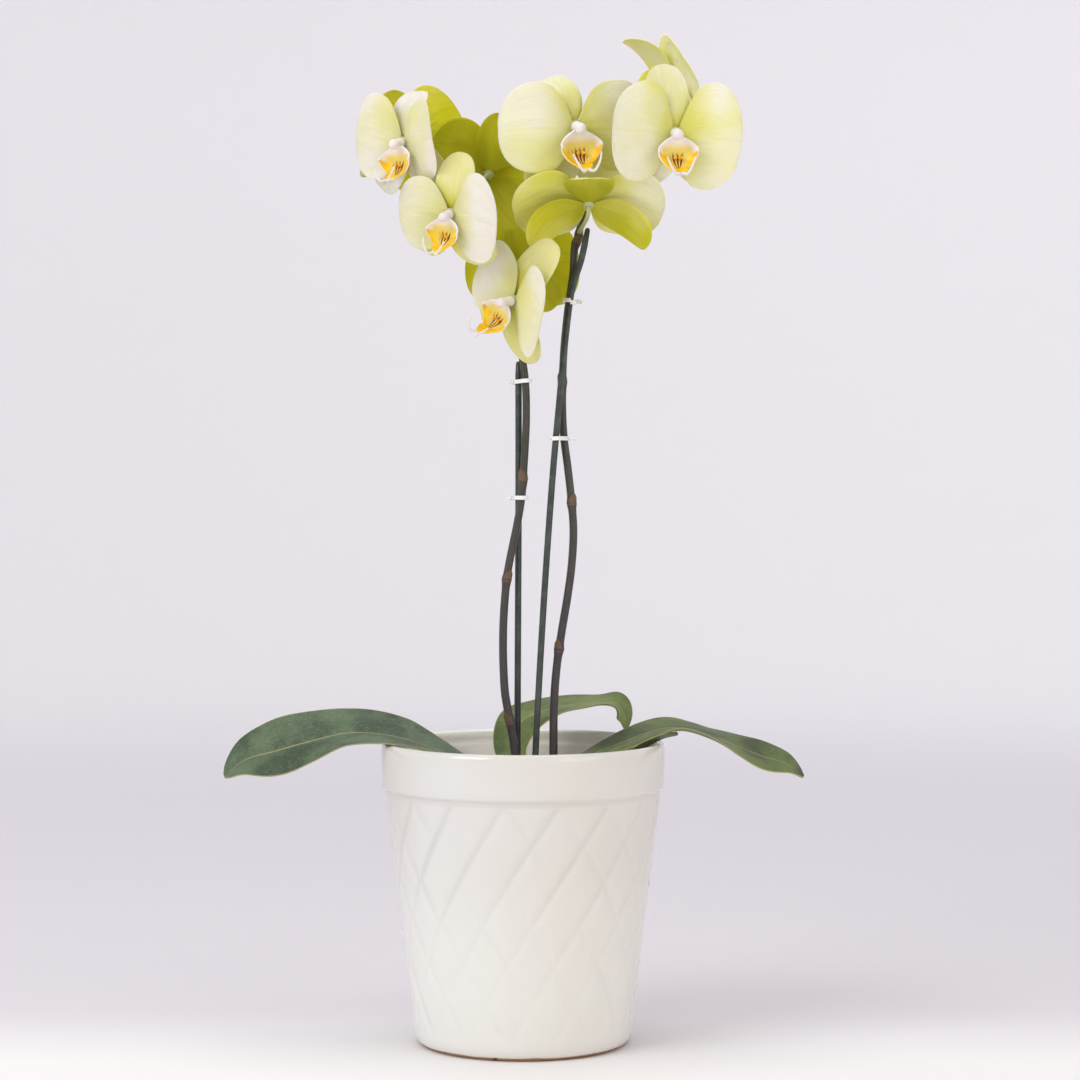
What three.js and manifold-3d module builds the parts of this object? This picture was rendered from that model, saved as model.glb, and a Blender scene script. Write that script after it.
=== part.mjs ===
// A potted moth orchid: a glazed pot with a woven lattice, bark, a crown with four leaves, and two
// flower spikes tied to stakes. Millimetres, +Z up. The origin is the centre of the pot's flat base,
// and -Y is the side that faces the viewer.

import * as THREE from 'three';
import { mergeVertices } from 'three/addons/utils/BufferGeometryUtils.js';
import Module from 'manifold-3d';

const wasm = await Module();
wasm.setup();

// Driving dimensions of the pot
const POT_HEIGHT = 182;
const RIM_RADIUS = 85.5;
const BASE_RADIUS = 61.5;
const RIM_ROUNDING = 2.8;
const WALL = 5;
const FLOOR = 12;
const FLOOR_ROUNDING = 4;
const LEDGE_DEPTH = 7;
const LEDGE_WIDTH = 1.1;
const LEDGE_HEIGHT = 2;
const BAND_HEIGHT = 27;
const BAND_STEP = 0.9;
const NECK_HEIGHT = 3;
const FOOT_HEIGHT = 2.2;
const FOOT_SETBACK = 1.6;
const BODY_BOTTOM = 8;
const BODY_BOTTOM_RADIUS = 65.8;
const BODY_TOP_RADIUS = 83;
const INNER_FOOT_RADIUS = BODY_BOTTOM_RADIUS - WALL - 1;
const INNER_TOP_RADIUS = RIM_RADIUS - WALL - 0.3;
const LATTICE_LINES = 16;
const LATTICE_TURN = -7.2;
const CELLS_PER_PITCH = 4;
const LATTICE_ROWS = 12;
const RISING_GROOVE = 1.3;
const FALLING_GROOVE = 0.9;

// Driving dimensions of the plant
const FIT_GAP = 0.35;
const STALK_GAP = 0.65;
const BARK_TOP = 149;
const BARK_RELIEF = 4;
const BARK_RINGS = 4;
const CROWN_CENTRE = new THREE.Vector2(6, 3);
const CROWN_RADIUS = 15;
const CROWN_TOP = 169;
const CROWN_FOOT = 136;
const ROOT_RADIUS = 2.6;
const ROOT_REACHES = [[-48, 24], [34, -34], [-20, -42]];
const LEAF_THICKNESS = 2.2;
const LEAF_CHANNEL = 0.16;
const STEM_RADIUS = 2.4;
const JOINT_SWELLING = 0.8;
const JOINT_HEIGHT = 5;
const RACHIS_RADIUS = 1.9;
const PEDICEL_RADIUS = 1.3;
const STALK_BEND = 9;
const BUD_RADIUS = 2.9;
const BUD_LENGTH = 9;
const STAKE_RADIUS = 2;
const TIE_HEIGHT = 3;
const TIE_WALL = 1.3;
const TIE_EAR_RADIUS = 0.9;

// Driving dimensions of one bloom of size 1
const TEPAL_THICKNESS = 0.9;
const TEPAL_ARCH = 9;
const TEPAL_REFLEX = 5;
const TEPAL_CLAW = 0.3;
const PETAL = { length: 41, halfWidth: 30, height: 1, cup: 1 };
const SEPAL = { length: 39, halfWidth: 14, height: -2.3, cup: 0.6 };
const HUB_RADIUS = 4.4;
const HUB_BACK_RADIUS = 2.6;
const HUB_FRONT = 2;
const HUB_BACK = -4;
const COLUMN_OUTLINE = [[0, 0], [3.4, 0], [3.2, 3], [2.7, 5], [3.3, 10], [0, 12.4]];
const LIP_THICKNESS = 1.1;
const CUP_CENTRE = [0, -9, 13.2];
const CUP_RADIUS = 11.5;
const CUP_DEPTH = 8.3;
const CUP_START = -45;
const CUP_SHARE = 0.78;
const LOBE_SWEEP = 74;
const TONGUE_SWEEP = 12;
const TONGUE_LENGTH = 8;
const TONGUE_DROP = 2;
const TENDRIL_RADIUS = 0.8;
const TENDRIL = [[0.9, -22.2, 20.4], [3, -22.6, 23.6], [6, -18, 24.6], [8, -13, 22.5]];

const COLOURS = {
  pot: { color: 0xe9e6e0, roughness: 0.18 },
  bark: { color: 0x5a3d28, roughness: 0.95 },
  crown: { color: 0x5c6b40, roughness: 0.6 },
  leaf: { color: 0x4c6238, roughness: 0.45 },
  spike: { color: 0x463d34, roughness: 0.6 },
  stake: { color: 0x3c4440, roughness: 0.5 },
  tie: { color: 0xf2f2f0, roughness: 0.5 },
  bloom: { color: 0xe9e7a6, roughness: 0.55 },
  lip: { color: 0xf3cf3a, roughness: 0.5 },
};

// Left spike: X, Y, Z along its centre line, from the crown to the bud at its tip
const LEFT_STEM = [
  [-3.6, -9.5, 146], [-4.8, -9.5, 176], [-8.4, -9.5, 197.5], [-10.8, -9.5, 212],
  [-11.7, -9.5, 226.4], [-12, -9.5, 240.8], [-11.7, -9.5, 255.2], [-10.8, -9.5, 269.7],
  [-9.3, -9, 284], [-6.6, -8.5, 298.4], [-3.6, -8, 312.8], [-0.9, -7.5, 329],
  [0.6, -7, 348.8], [2, -6.5, 377.6], [1.4, -6.5, 399.2], [-1, -4, 417],
];
const LEFT_RACHIS = [
  [-1, -4, 417], [-6.7, 2, 442], [-15.7, 6, 463.3], [-28.4, 8, 484.5],
  [-41.7, 8, 504.9], [-49.5, 9, 527.8], [-58.5, 11, 538.6], [-70.6, 14, 543.4],
  [-83.2, 20, 539.6], [-96, 28, 528],
];
const RIGHT_STEM = [
  [18.3, -6, 146], [18.3, -6, 175.5], [18.6, -6, 204.5], [20.1, -6, 226.1],
  [23.1, -6, 247.8], [26.7, -6, 269.5], [29.1, -6, 287.5], [30.3, -6, 309.2],
  [29.1, -5.5, 327.2], [26.7, -4.5, 348.8], [24.6, -3.5, 365], [23.7, -3, 381.8],
  [24.3, -3, 413.6], [27, -3, 442.4], [30, -3, 463.9], [30.9, -1, 478.4], [33.1, 2, 485.8],
];
const RIGHT_RACHIS = [
  [33.1, 2, 485.8], [37.4, 12, 505.9], [41.7, 16, 526.1], [52.6, 16, 541],
  [70.7, 14, 552], [84, 9, 557],
];
const LEFT_STAKE = [[-3.4, -2, 100], [-3.4, -2, 175], [-2.7, -1.6, 328], [-2.7, -1, 411]];
const RIGHT_STAKE = [
  [4.5, -10, 100], [7.5, -10, 176], [10.5, -10, 233.6], [14.1, -10, 291.3], [18.3, -10, 348.8],
  [21.3, -9.6, 381.7], [24.3, -9, 413.4], [27.5, -9, 442.1], [29.9, -9, 456.4],
  [34.7, -8, 470.8], [38.9, -6, 490.6],
];

// Heights of the swollen joints on each stem, where a bract once sat
const LEFT_JOINTS = [196, 280, 340];
const RIGHT_JOINTS = [238, 325.5, 398, 482];

// Each tie: its height, and the side of its twisted end
const TIES = [
  { name: 'tie_left_lower', height: 329, side: -1, ear: 2.5 },
  { name: 'tie_left_upper', height: 399.2, side: -1, ear: 4 },
  { name: 'tie_right_lower', height: 365, side: 1, ear: 5 },
  { name: 'tie_right_upper', height: 446.4, side: 1, ear: 4 },
];

// Leaves: the midrib, the direction across the blade at each of its points, and the widest half width
const LEAVES = [
  {
    name: 'leaf_left',
    midrib: [[-6, 3, 156], [-33, 1, 166.5], [-58, 0, 177], [-83, 0, 187.2], [-106, 0, 187],
      [-128, 0, 181.6], [-149, 0, 174.4], [-167, 0, 168.6], [-180.5, 0, 160.5]],
    across: [[0, -1, 0.1], [0, -1, -0.1], [0, -1, -0.14], [0, -1, -0.12], [0, -1, -0.24],
      [0, -1, -0.34], [0, -1, -0.46], [0, -1, -0.5], [0, -1, -0.4]],
    halfWidth: 30,
    baseWidth: 0.26,
  },
  {
    name: 'leaf_right',
    midrib: [[16, 5, 158], [36, 6, 171], [60, 6, 182], [84, 4, 190], [98, 2, 191], [112, 0, 187.5],
      [130, 0, 178], [147, 0, 171.5], [160, 0, 167.5], [169.5, 0, 160.5]],
    across: [[0, -1, 0.1], [0, -1, 0], [0, -1, -0.04], [0, -1, -0.04], [0, -1, 0.06], [0, -1, 0],
      [0, -1, -0.18], [0, -1, -0.3], [0, -1, -0.3], [0, -1, -0.2]],
    halfWidth: 25,
    baseWidth: 0.3,
  },
  {
    name: 'leaf_right_lower',
    midrib: [[18, 0, 153], [40, -5, 160.5], [58, -7, 170.5], [73, -8, 180], [84, -7, 185.6],
      [94, -5, 188]],
    across: [[0, -1, 0.1], [0.1, -1, 0.06], [0.1, -1, 0.12], [0.1, -1, 0.16], [0.1, -1, 0.16],
      [0.1, -1, 0.1]],
    halfWidth: 15,
    baseWidth: 0.4,
  },
  {
    name: 'leaf_back',
    midrib: [[0, 11, 156], [-7, 21, 175], [-1, 33, 190.5], [14, 44, 196.5], [33, 52, 199.5],
      [48, 57, 202.5], [58, 60, 202.5], [61, 61, 195], [60.5, 62, 185]],
    across: [[1, -0.3, 0], [1, -0.5, 0], [0.9, -0.7, -0.1], [0.6, -1, -0.08], [0.5, -1, -0.06],
      [0.45, -1, -0.05], [0.6, -0.9, 0], [0.8, -0.7, 0], [0.8, -0.6, 0]],
    halfWidth: 22,
    baseWidth: 0.42,
  },
];

// Blooms: where the hub is; which way the face looks (yaw from the viewer to the right, pitch up, roll
// clockwise); the size; the angles of the petals and sepals from the top; their half widths and
// lengths; and how far they curl to the front, in degrees. The stalk starts from one of the spikes,
// at a part of the way along the flowering end.
const OPEN = {
  petals: [-84, 84], wide: [30, 30], reach: [41, 41], curl: [0, 0],
  upper: 0, upperCurl: -8, upperWide: 14, upperReach: 39, lower: 138, lowerCurl: -8, lowerReach: 39,
};
const BLOOMS = [
  { hub: [31, -36, 547.5], yaw: 14, pitch: -8, roll: -6, size: 1.08, petals: [-88, 90], wide: [25, 25],
    upper: -18, upperCurl: -66, upperWide: 11, lower: 142, lowerCurl: -24, lowerReach: 42,
    from: 'right', at: 0.5 },
  { hub: [89.5, -41, 543], yaw: 6, pitch: -6, roll: -2, size: 1.02, petals: [-84, 98], wide: [29, 31],
    reach: [38, 36], curl: [52, 30], upper: -10, upperCurl: 0, upperWide: 13, lowerReach: 33,
    from: 'right', at: 0.8 },
  { hub: [88.5, 36, 579.5], yaw: 124, pitch: 12, roll: 0, size: 1, petals: [-54, 118], wide: [24, 22],
    reach: [33, 36], curl: [-10, 0], upper: 8, upperCurl: -52, upperWide: 11, upperReach: 41,
    from: 'right', at: 1 },
  { hub: [39, -22, 505], yaw: 181, pitch: 57, roll: 0, size: 1.06, petals: [-99, 99], lower: 110,
    upperCurl: -20, lowerCurl: -46, lowerReach: 42, from: 'right', at: 0.02 },
  { hub: [-71, -9, 541], yaw: -33, pitch: -8, roll: 2, size: 0.94, petals: [-80, 84], wide: [28, 26],
    reach: [42, 41], curl: [-8, 72], upperCurl: -50, upperWide: 12, from: 'left', at: 0.84 },
  { hub: [-42, -32, 497], yaw: -28, pitch: -14, roll: 12, size: 0.9, petals: [-98, 88], wide: [25, 30],
    reach: [43, 41], curl: [-8, 50], from: 'left', at: 0.42 },
  { hub: [-5, -26, 446], yaw: -43, pitch: -6, roll: 40, size: 0.96, petals: [-86, 68], wide: [23, 28],
    reach: [42, 42], curl: [-10, 60], upperReach: 44, from: 'left', at: 0.16 },
  { hub: [-68, 42, 549], yaw: 168, pitch: 6, roll: 26, size: 0.8, from: 'left', at: 0.74 },
  { hub: [-21.3, 24, 525], yaw: 188, pitch: -5, roll: -14, size: 0.94, from: 'left', at: 0.52 },
  { hub: [0, 37, 470], yaw: 166, pitch: 0, roll: 0, size: 0.85, from: 'left', at: 0.24 },
].map((bloom) => ({ ...OPEN, ...bloom }));

function toSolid(geometry) {
  const bare = geometry.clone();
  bare.deleteAttribute('normal');
  bare.deleteAttribute('uv');
  const merged = mergeVertices(bare, 1e-4);
  const vertProperties = new Float32Array(merged.attributes.position.array);
  const triVerts = new Uint32Array(merged.index.array);
  return new wasm.Manifold(new wasm.Mesh({ numProp: 3, vertProperties, triVerts }));
}

function toGeometry(solid) {
  const mesh = solid.getMesh();
  const geometry = new THREE.BufferGeometry();
  geometry.setAttribute('position', new THREE.BufferAttribute(new Float32Array(mesh.vertProperties), 3));
  geometry.setIndex(new THREE.BufferAttribute(new Uint32Array(mesh.triVerts), 1));
  geometry.computeVertexNormals();
  return geometry;
}

function fuse(geometries) {
  return geometries.map(toSolid).reduce((whole, next) => whole.add(next));
}

function vector([x, y, z]) {
  return new THREE.Vector3(x, y, z);
}

function curveThrough(points) {
  return new THREE.CatmullRomCurve3(points.map(vector), false, 'centripetal');
}

// The point of a rising curve at a given height
function pointAtHeight(curve, height) {
  let low = 0;
  let high = 1;
  for (let step = 0; step < 40; step += 1) {
    const middle = (low + high) / 2;
    if (curve.getPointAt(middle).z < height) low = middle;
    else high = middle;
  }
  return { point: curve.getPointAt(low), tangent: curve.getTangentAt(low) };
}

// A round rod along a curve
function rod(extrudePath, radius, sides, steps) {
  const section = new THREE.Shape();
  for (let side = 0; side < sides; side += 1) {
    const angle = 2 * Math.PI * side / sides;
    const place = [radius * Math.cos(angle), radius * Math.sin(angle)];
    if (side === 0) section.moveTo(...place);
    else section.lineTo(...place);
  }
  return new THREE.ExtrudeGeometry(section, { steps, bevelEnabled: false, extrudePath });
}

// A swollen ring round a stem at a point of its curve
function ring(point, tangent, radius, swelling, height, sides) {
  const geometry = new THREE.CylinderGeometry(radius + swelling, radius + swelling * 0.3, height, sides);
  const turn = new THREE.Quaternion().setFromUnitVectors(new THREE.Vector3(0, 1, 0), tangent);
  return geometry.applyQuaternion(turn).translate(point.x, point.y, point.z);
}

// A closed blade: a grid of points on its middle surface, with half its thickness on each side.
// surface(u, v) gives a point for u from 0 at the base to 1 at the tip and v from -1 to 1 across.
function blade(surface, rows, columns, thickness) {
  const positions = [];
  const triangles = [];
  const nudge = 1e-3;
  for (const side of [1, -1]) {
    for (let row = 0; row <= rows; row += 1) {
      for (let column = 0; column <= columns; column += 1) {
        const u = row / rows;
        const v = 2 * column / columns - 1;
        const along = surface(Math.min(u + nudge, 1), v).sub(surface(Math.max(u - nudge, 0), v));
        const sideways = surface(u, Math.min(v + nudge, 1)).sub(surface(u, Math.max(v - nudge, -1)));
        const normal = along.cross(sideways).normalize();
        const point = surface(u, v).addScaledVector(normal, side * thickness / 2);
        positions.push(point.x, point.y, point.z);
      }
    }
  }
  const layer = (rows + 1) * (columns + 1);
  const top = (row, column) => row * (columns + 1) + column;
  const under = (row, column) => layer + top(row, column);
  for (let row = 0; row < rows; row += 1) {
    for (let column = 0; column < columns; column += 1) {
      const leftHalf = column < columns / 2;
      const a = [row, column];
      const b = [row + 1, column];
      const c = [row + 1, column + 1];
      const d = [row, column + 1];
      const halves = leftHalf ? [[a, b, d], [b, c, d]] : [[a, b, c], [a, c, d]];
      for (const [first, second, third] of halves) {
        triangles.push(top(...first), top(...second), top(...third));
        triangles.push(under(...first), under(...third), under(...second));
      }
    }
  }
  const border = [];
  for (let row = 0; row < rows; row += 1) border.push([row, 0]);
  for (let column = 0; column < columns; column += 1) border.push([rows, column]);
  for (let row = rows; row > 0; row -= 1) border.push([row, columns]);
  for (let column = columns; column > 0; column -= 1) border.push([0, column]);
  border.forEach((here, place) => {
    const next = border[(place + 1) % border.length];
    triangles.push(top(...here), under(...here), under(...next));
    triangles.push(top(...here), under(...next), top(...next));
  });
  const geometry = new THREE.BufferGeometry();
  geometry.setAttribute('position', new THREE.Float32BufferAttribute(positions, 3));
  geometry.setIndex(triangles);
  return geometry;
}

// A closed body made of rings of points, with a point at its two ends. fallsLeft says which way the
// quad of a row and column is halved, and offset turns all its points, in degrees.
function ringedBody(start, rings, end, columns, fallsLeft, offset) {
  const positions = [...start];
  for (const ringAt of rings) {
    for (let column = 0; column < columns; column += 1) {
      const angle = 2 * Math.PI * column / columns + THREE.MathUtils.degToRad(offset);
      const { radius, height } = ringAt(column);
      positions.push(radius * Math.cos(angle), radius * Math.sin(angle), height);
    }
  }
  positions.push(...end);
  const at = (row, column) => 1 + row * columns + (column % columns);
  const last = 1 + rings.length * columns;
  const triangles = [];
  for (let column = 0; column < columns; column += 1) {
    triangles.push(0, at(0, column + 1), at(0, column));
    triangles.push(last, at(rings.length - 1, column), at(rings.length - 1, column + 1));
    for (let row = 0; row < rings.length - 1; row += 1) {
      const a = at(row, column);
      const b = at(row, column + 1);
      const c = at(row + 1, column + 1);
      const d = at(row + 1, column);
      if (fallsLeft(row, column)) triangles.push(a, b, d, b, c, d);
      else triangles.push(a, b, c, a, c, d);
    }
  }
  const geometry = new THREE.BufferGeometry();
  geometry.setAttribute('position', new THREE.Float32BufferAttribute(positions, 3));
  geometry.setIndex(triangles);
  return geometry;
}

// The ring of points at one row of the lattice, sunk where a slanting groove passes
function latticeRing(row) {
  const part = row / LATTICE_ROWS;
  const bodyTop = POT_HEIGHT - BAND_HEIGHT - NECK_HEIGHT;
  const smooth = THREE.MathUtils.lerp(BODY_BOTTOM_RADIUS, BODY_TOP_RADIUS, part);
  const height = THREE.MathUtils.lerp(BODY_BOTTOM, bodyTop, part);
  const fade = row === 0 ? 0.3 : 1;
  return (column) => {
    const rising = (column - row + LATTICE_ROWS) % CELLS_PER_PITCH === 0;
    const falling = (column + row) % CELLS_PER_PITCH === 0;
    const depth = rising ? RISING_GROOVE : (falling ? FALLING_GROOVE : 0);
    return { radius: smooth - depth * fade, height };
  };
}

function makePot() {
  const bandBottom = POT_HEIGHT - BAND_HEIGHT;
  const ledge = POT_HEIGHT - LEDGE_DEPTH;
  const plain = (radius, height) => () => ({ radius, height });
  const foot = [plain(BASE_RADIUS, 0), plain(BODY_BOTTOM_RADIUS - FOOT_SETBACK, FOOT_HEIGHT)];
  const lattice = [];
  for (let row = 0; row <= LATTICE_ROWS; row += 1) lattice.push(latticeRing(row));
  const band = [
    plain(BODY_TOP_RADIUS - 0.4, bandBottom - 1.2),
    plain(RIM_RADIUS - BAND_STEP, bandBottom + 0.6),
    plain(RIM_RADIUS, POT_HEIGHT - RIM_ROUNDING),
    plain(RIM_RADIUS - RIM_ROUNDING, POT_HEIGHT),
  ];
  const inside = [
    plain(INNER_TOP_RADIUS, ledge),
    plain(INNER_TOP_RADIUS - LEDGE_WIDTH, ledge - LEDGE_HEIGHT),
    plain(INNER_FOOT_RADIUS, FLOOR + FLOOR_ROUNDING),
    plain(INNER_FOOT_RADIUS - FLOOR_ROUNDING, FLOOR),
  ];
  const rings = [...foot, ...lattice, ...band, ...inside];
  const fallsLeft = (ringRow, column) => {
    const row = ringRow - foot.length;
    return row >= 0 && row < LATTICE_ROWS && (column + 1 + row) % CELLS_PER_PITCH === 0;
  };
  const columns = LATTICE_LINES * CELLS_PER_PITCH;
  return ringedBody([0, 0, 0], rings, [0, 0, FLOOR], columns, fallsLeft, LATTICE_TURN);
}

// The pot's inner wall radius at a height between its floor and the ledge under the rim
function innerRadius(height) {
  const low = FLOOR + FLOOR_ROUNDING;
  const part = (height - low) / (POT_HEIGHT - LEDGE_DEPTH - LEDGE_HEIGHT - low);
  return THREE.MathUtils.lerp(INNER_FOOT_RADIUS, INNER_TOP_RADIUS - LEDGE_WIDTH, part);
}

// Rough pieces of bark: a repeatable bumpy height for a place on the top of the filling
function barkHeight(ringRow, column) {
  const draw = Math.sin(ringRow * 127.1 + column * 311.7) * 43758.5453;
  const chance = draw - Math.floor(draw);
  return BARK_TOP - BARK_RELIEF / 2 + BARK_RELIEF * chance;
}

function crownGeometries(gap) {
  const { x, y } = CROWN_CENTRE;
  const profile = [
    [0, CROWN_FOOT - gap], [CROWN_RADIUS * 0.7 + gap, CROWN_FOOT - gap],
    [CROWN_RADIUS + gap, CROWN_FOOT + 8], [CROWN_RADIUS + gap, CROWN_FOOT + 17],
    [CROWN_RADIUS * 0.8 + gap, CROWN_TOP - 8], [CROWN_RADIUS * 0.42 + gap, CROWN_TOP + gap],
    [0, CROWN_TOP + gap],
  ];
  const points = profile.map(([radius, height]) => new THREE.Vector2(radius, height));
  const body = new THREE.LatheGeometry(points, 12);
  body.rotateX(Math.PI / 2).scale(1, 0.8, 1).translate(x, y, 0);
  const roots = ROOT_REACHES.map(([reachX, reachY]) => {
    const run = curveThrough([
      [x, y, BARK_TOP - 2], [x + reachX * 0.45, y + reachY * 0.45, BARK_TOP + 4],
      [x + reachX * 0.8, y + reachY * 0.8, BARK_TOP + 3], [x + reachX, y + reachY, BARK_TOP - 14 - gap],
    ]);
    return rod(run, ROOT_RADIUS + gap, 5, 6);
  });
  return [body, ...roots];
}

// The filling of the pot, with plain holes for the crown, its roots, the stems and the stakes
function makeBark(stems) {
  const columns = 20;
  const foot = FLOOR + FLOOR_ROUNDING + 1;
  const plain = (height) => () => ({ radius: innerRadius(height) - FIT_GAP, height });
  const rings = [
    () => ({ radius: INNER_FOOT_RADIUS - FLOOR_ROUNDING - 2 * FIT_GAP, height: FLOOR + FIT_GAP }),
    plain(foot), plain((foot + BARK_TOP) / 2), plain(BARK_TOP - BARK_RELIEF),
  ];
  for (let row = 0; row < BARK_RINGS; row += 1) {
    const radius = (innerRadius(BARK_TOP) - 1.5) * (1 - row / (BARK_RINGS + 0.4));
    rings.push((column) => ({ radius, height: barkHeight(row, column) }));
  }
  const bottom = [0, 0, FLOOR + FIT_GAP];
  const filling = ringedBody(bottom, rings, [0, 0, BARK_TOP], columns, () => false, 0);
  const holes = [...crownGeometries(FIT_GAP), ...stems];
  return toGeometry(toSolid(filling).subtract(fuse(holes)));
}

// A leaf's middle surface, widest before its middle, with a channel along its midrib
function leafSurface({ midrib, across, halfWidth, baseWidth }) {
  const spine = new THREE.CatmullRomCurve3(midrib.map(vector), false, 'centripetal');
  const sides = new THREE.CatmullRomCurve3(across.map(vector));
  return (u, v) => {
    const centre = spine.getPoint(u);
    const tangent = spine.getTangent(u);
    const side = sides.getPoint(u);
    side.addScaledVector(tangent, -side.dot(tangent)).normalize();
    const up = new THREE.Vector3().crossVectors(tangent, side);
    if (up.z < 0) up.negate();
    const belly = Math.sin(Math.PI * Math.min(0.16 + 0.84 * u, 0.985)) ** 0.62;
    const width = halfWidth * THREE.MathUtils.lerp(baseWidth, 1, Math.min(1, u * 3.2)) * belly;
    const channel = LEAF_CHANNEL * width * Math.abs(v) ** 1.4;
    return centre.addScaledVector(side, v * width).addScaledVector(up, channel);
  };
}

// The frame of a bloom: its right, its top and its front as seen by someone who looks at its face
function bloomFrame({ hub, yaw, pitch, roll, size }) {
  const turn = THREE.MathUtils.degToRad;
  const front = new THREE.Vector3(
    Math.sin(turn(yaw)) * Math.cos(turn(pitch)),
    -Math.cos(turn(yaw)) * Math.cos(turn(pitch)),
    Math.sin(turn(pitch)),
  );
  const top = new THREE.Vector3(0, 0, 1).addScaledVector(front, -front.z).normalize();
  top.applyAxisAngle(front, -turn(roll));
  const right = new THREE.Vector3().crossVectors(top, front);
  const matrix = new THREE.Matrix4().makeBasis(right, top, front);
  matrix.scale(new THREE.Vector3(size, size, size));
  return matrix.setPosition(vector(hub));
}

// A petal or sepal in its bloom's frame. angle is clockwise from the top. The blade curls to the
// front by the angle curl at its tip, or to the back where that is negative.
function tepalSurface({ angle, length, halfWidth, height, curl, cup }) {
  const heading = THREE.MathUtils.degToRad(angle);
  const turned = THREE.MathUtils.degToRad(Math.abs(curl) < 1 ? 1 : curl);
  return (u, v) => {
    const place = 0.2 + (Math.PI - 0.42) * u;
    const part = (1 - Math.cos(place)) / 2;
    const neck = THREE.MathUtils.lerp(TEPAL_CLAW, 1, THREE.MathUtils.smoothstep(u, -0.15, 0.36));
    const width = halfWidth * Math.sin(place) ** 0.8 * neck;
    const bow = TEPAL_ARCH * part * (1 - part) - TEPAL_REFLEX * part * part;
    const arch = bow - cup * v * v * Math.sin(place);
    const bent = turned * part;
    const out = 1.4 + length * Math.sin(bent) / turned - arch * Math.sin(bent);
    const front = height + length * (1 - Math.cos(bent)) / turned + arch * Math.cos(bent);
    return new THREE.Vector3(
      out * Math.sin(heading) + v * width * Math.cos(heading),
      out * Math.cos(heading) - v * width * Math.sin(heading),
      front,
    );
  };
}

// The two petals and three sepals of a bloom, round its hub
function makeBloom(bloom) {
  const hub = new THREE.CylinderGeometry(HUB_RADIUS, HUB_BACK_RADIUS, HUB_FRONT - HUB_BACK, 8);
  const parts = [hub.rotateX(Math.PI / 2).translate(0, 0, (HUB_FRONT + HUB_BACK) / 2)];
  bloom.petals.forEach((angle, side) => {
    const petal = { ...PETAL, length: bloom.reach[side], halfWidth: bloom.wide[side] };
    const surface = tepalSurface({ ...petal, angle, curl: bloom.curl[side] });
    parts.push(blade(surface, 5, 3, TEPAL_THICKNESS));
  });
  const upper = { length: bloom.upperReach, halfWidth: bloom.upperWide, curl: bloom.upperCurl };
  const lower = { length: bloom.lowerReach, curl: bloom.lowerCurl };
  const sepals = [
    { ...SEPAL, ...upper, angle: bloom.upper },
    { ...SEPAL, ...lower, angle: bloom.lower },
    { ...SEPAL, ...lower, angle: -bloom.lower },
  ];
  for (const sepal of sepals) parts.push(blade(tepalSurface(sepal), 4, 2, TEPAL_THICKNESS));
  return toGeometry(fuse(parts)).applyMatrix4(bloomFrame(bloom));
}

// A bump of height 1 round a place on a line
function bump(value, middle, spread) {
  return Math.exp(-(((value - middle) / spread) ** 2));
}

// The lip's middle surface. It runs down the back of a round cup under the column, whose two side
// lobes come round to the front, and then it leaves the cup's floor as a tongue that points forward.
function lipSurface(u, v) {
  const [x, y, z] = CUP_CENTRE;
  const part = Math.min(u / CUP_SHARE, 1);
  const beyond = Math.max(u - CUP_SHARE, 0) / (1 - CUP_SHARE);
  const down = THREE.MathUtils.degToRad(THREE.MathUtils.lerp(CUP_START, 90, part));
  const rising = THREE.MathUtils.smoothstep(u, 0, 0.16);
  const lobes = rising * (1 - THREE.MathUtils.smoothstep(u, 0.5, 0.8));
  const sweep = 14 - 9 * beyond + LOBE_SWEEP * lobes + TONGUE_SWEEP * bump(u, 0.84, 0.09);
  const across = THREE.MathUtils.degToRad(sweep) * v;
  return new THREE.Vector3(
    x + CUP_RADIUS * Math.sin(across),
    y - CUP_RADIUS * Math.sin(down) * Math.cos(across) - TONGUE_DROP * beyond,
    z - CUP_DEPTH * Math.cos(down) * Math.cos(across) + TONGUE_LENGTH * beyond,
  );
}

// The lip, the two tendrils at its tip, and the column above it
function makeLip(bloom) {
  const root = HUB_FRONT + FIT_GAP / bloom.size;
  const outline = COLUMN_OUTLINE.map(([radius, height]) => new THREE.Vector2(radius, height));
  const column = new THREE.LatheGeometry(outline, 6);
  const parts = [
    column.rotateX(Math.PI / 2).translate(0, 0, root),
    blade(lipSurface, 6, 4, LIP_THICKNESS),
  ];
  for (const side of [-1, 1]) {
    const points = TENDRIL.map(([x, y, z]) => [side * x, y, z]);
    parts.push(rod(curveThrough(points), TENDRIL_RADIUS, 4, 3));
  }
  return toGeometry(fuse(parts)).applyMatrix4(bloomFrame(bloom));
}

// The stalk of a bloom, from the spike to just behind its hub
function pedicel(bloom, rachis) {
  const frame = bloomFrame(bloom);
  const gap = STALK_GAP / bloom.size;
  const start = rachis.getPointAt(bloom.at);
  const end = new THREE.Vector3(0, 0, HUB_BACK - gap).applyMatrix4(frame);
  const behind = new THREE.Vector3(0, 0, HUB_BACK - STALK_BEND).applyMatrix4(frame);
  const leaving = start.clone().lerp(behind, 0.45);
  leaving.z += 3;
  const run = new THREE.CubicBezierCurve3(start, leaving, behind, end);
  return rod(run, PEDICEL_RADIUS, 5, 5);
}

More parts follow.
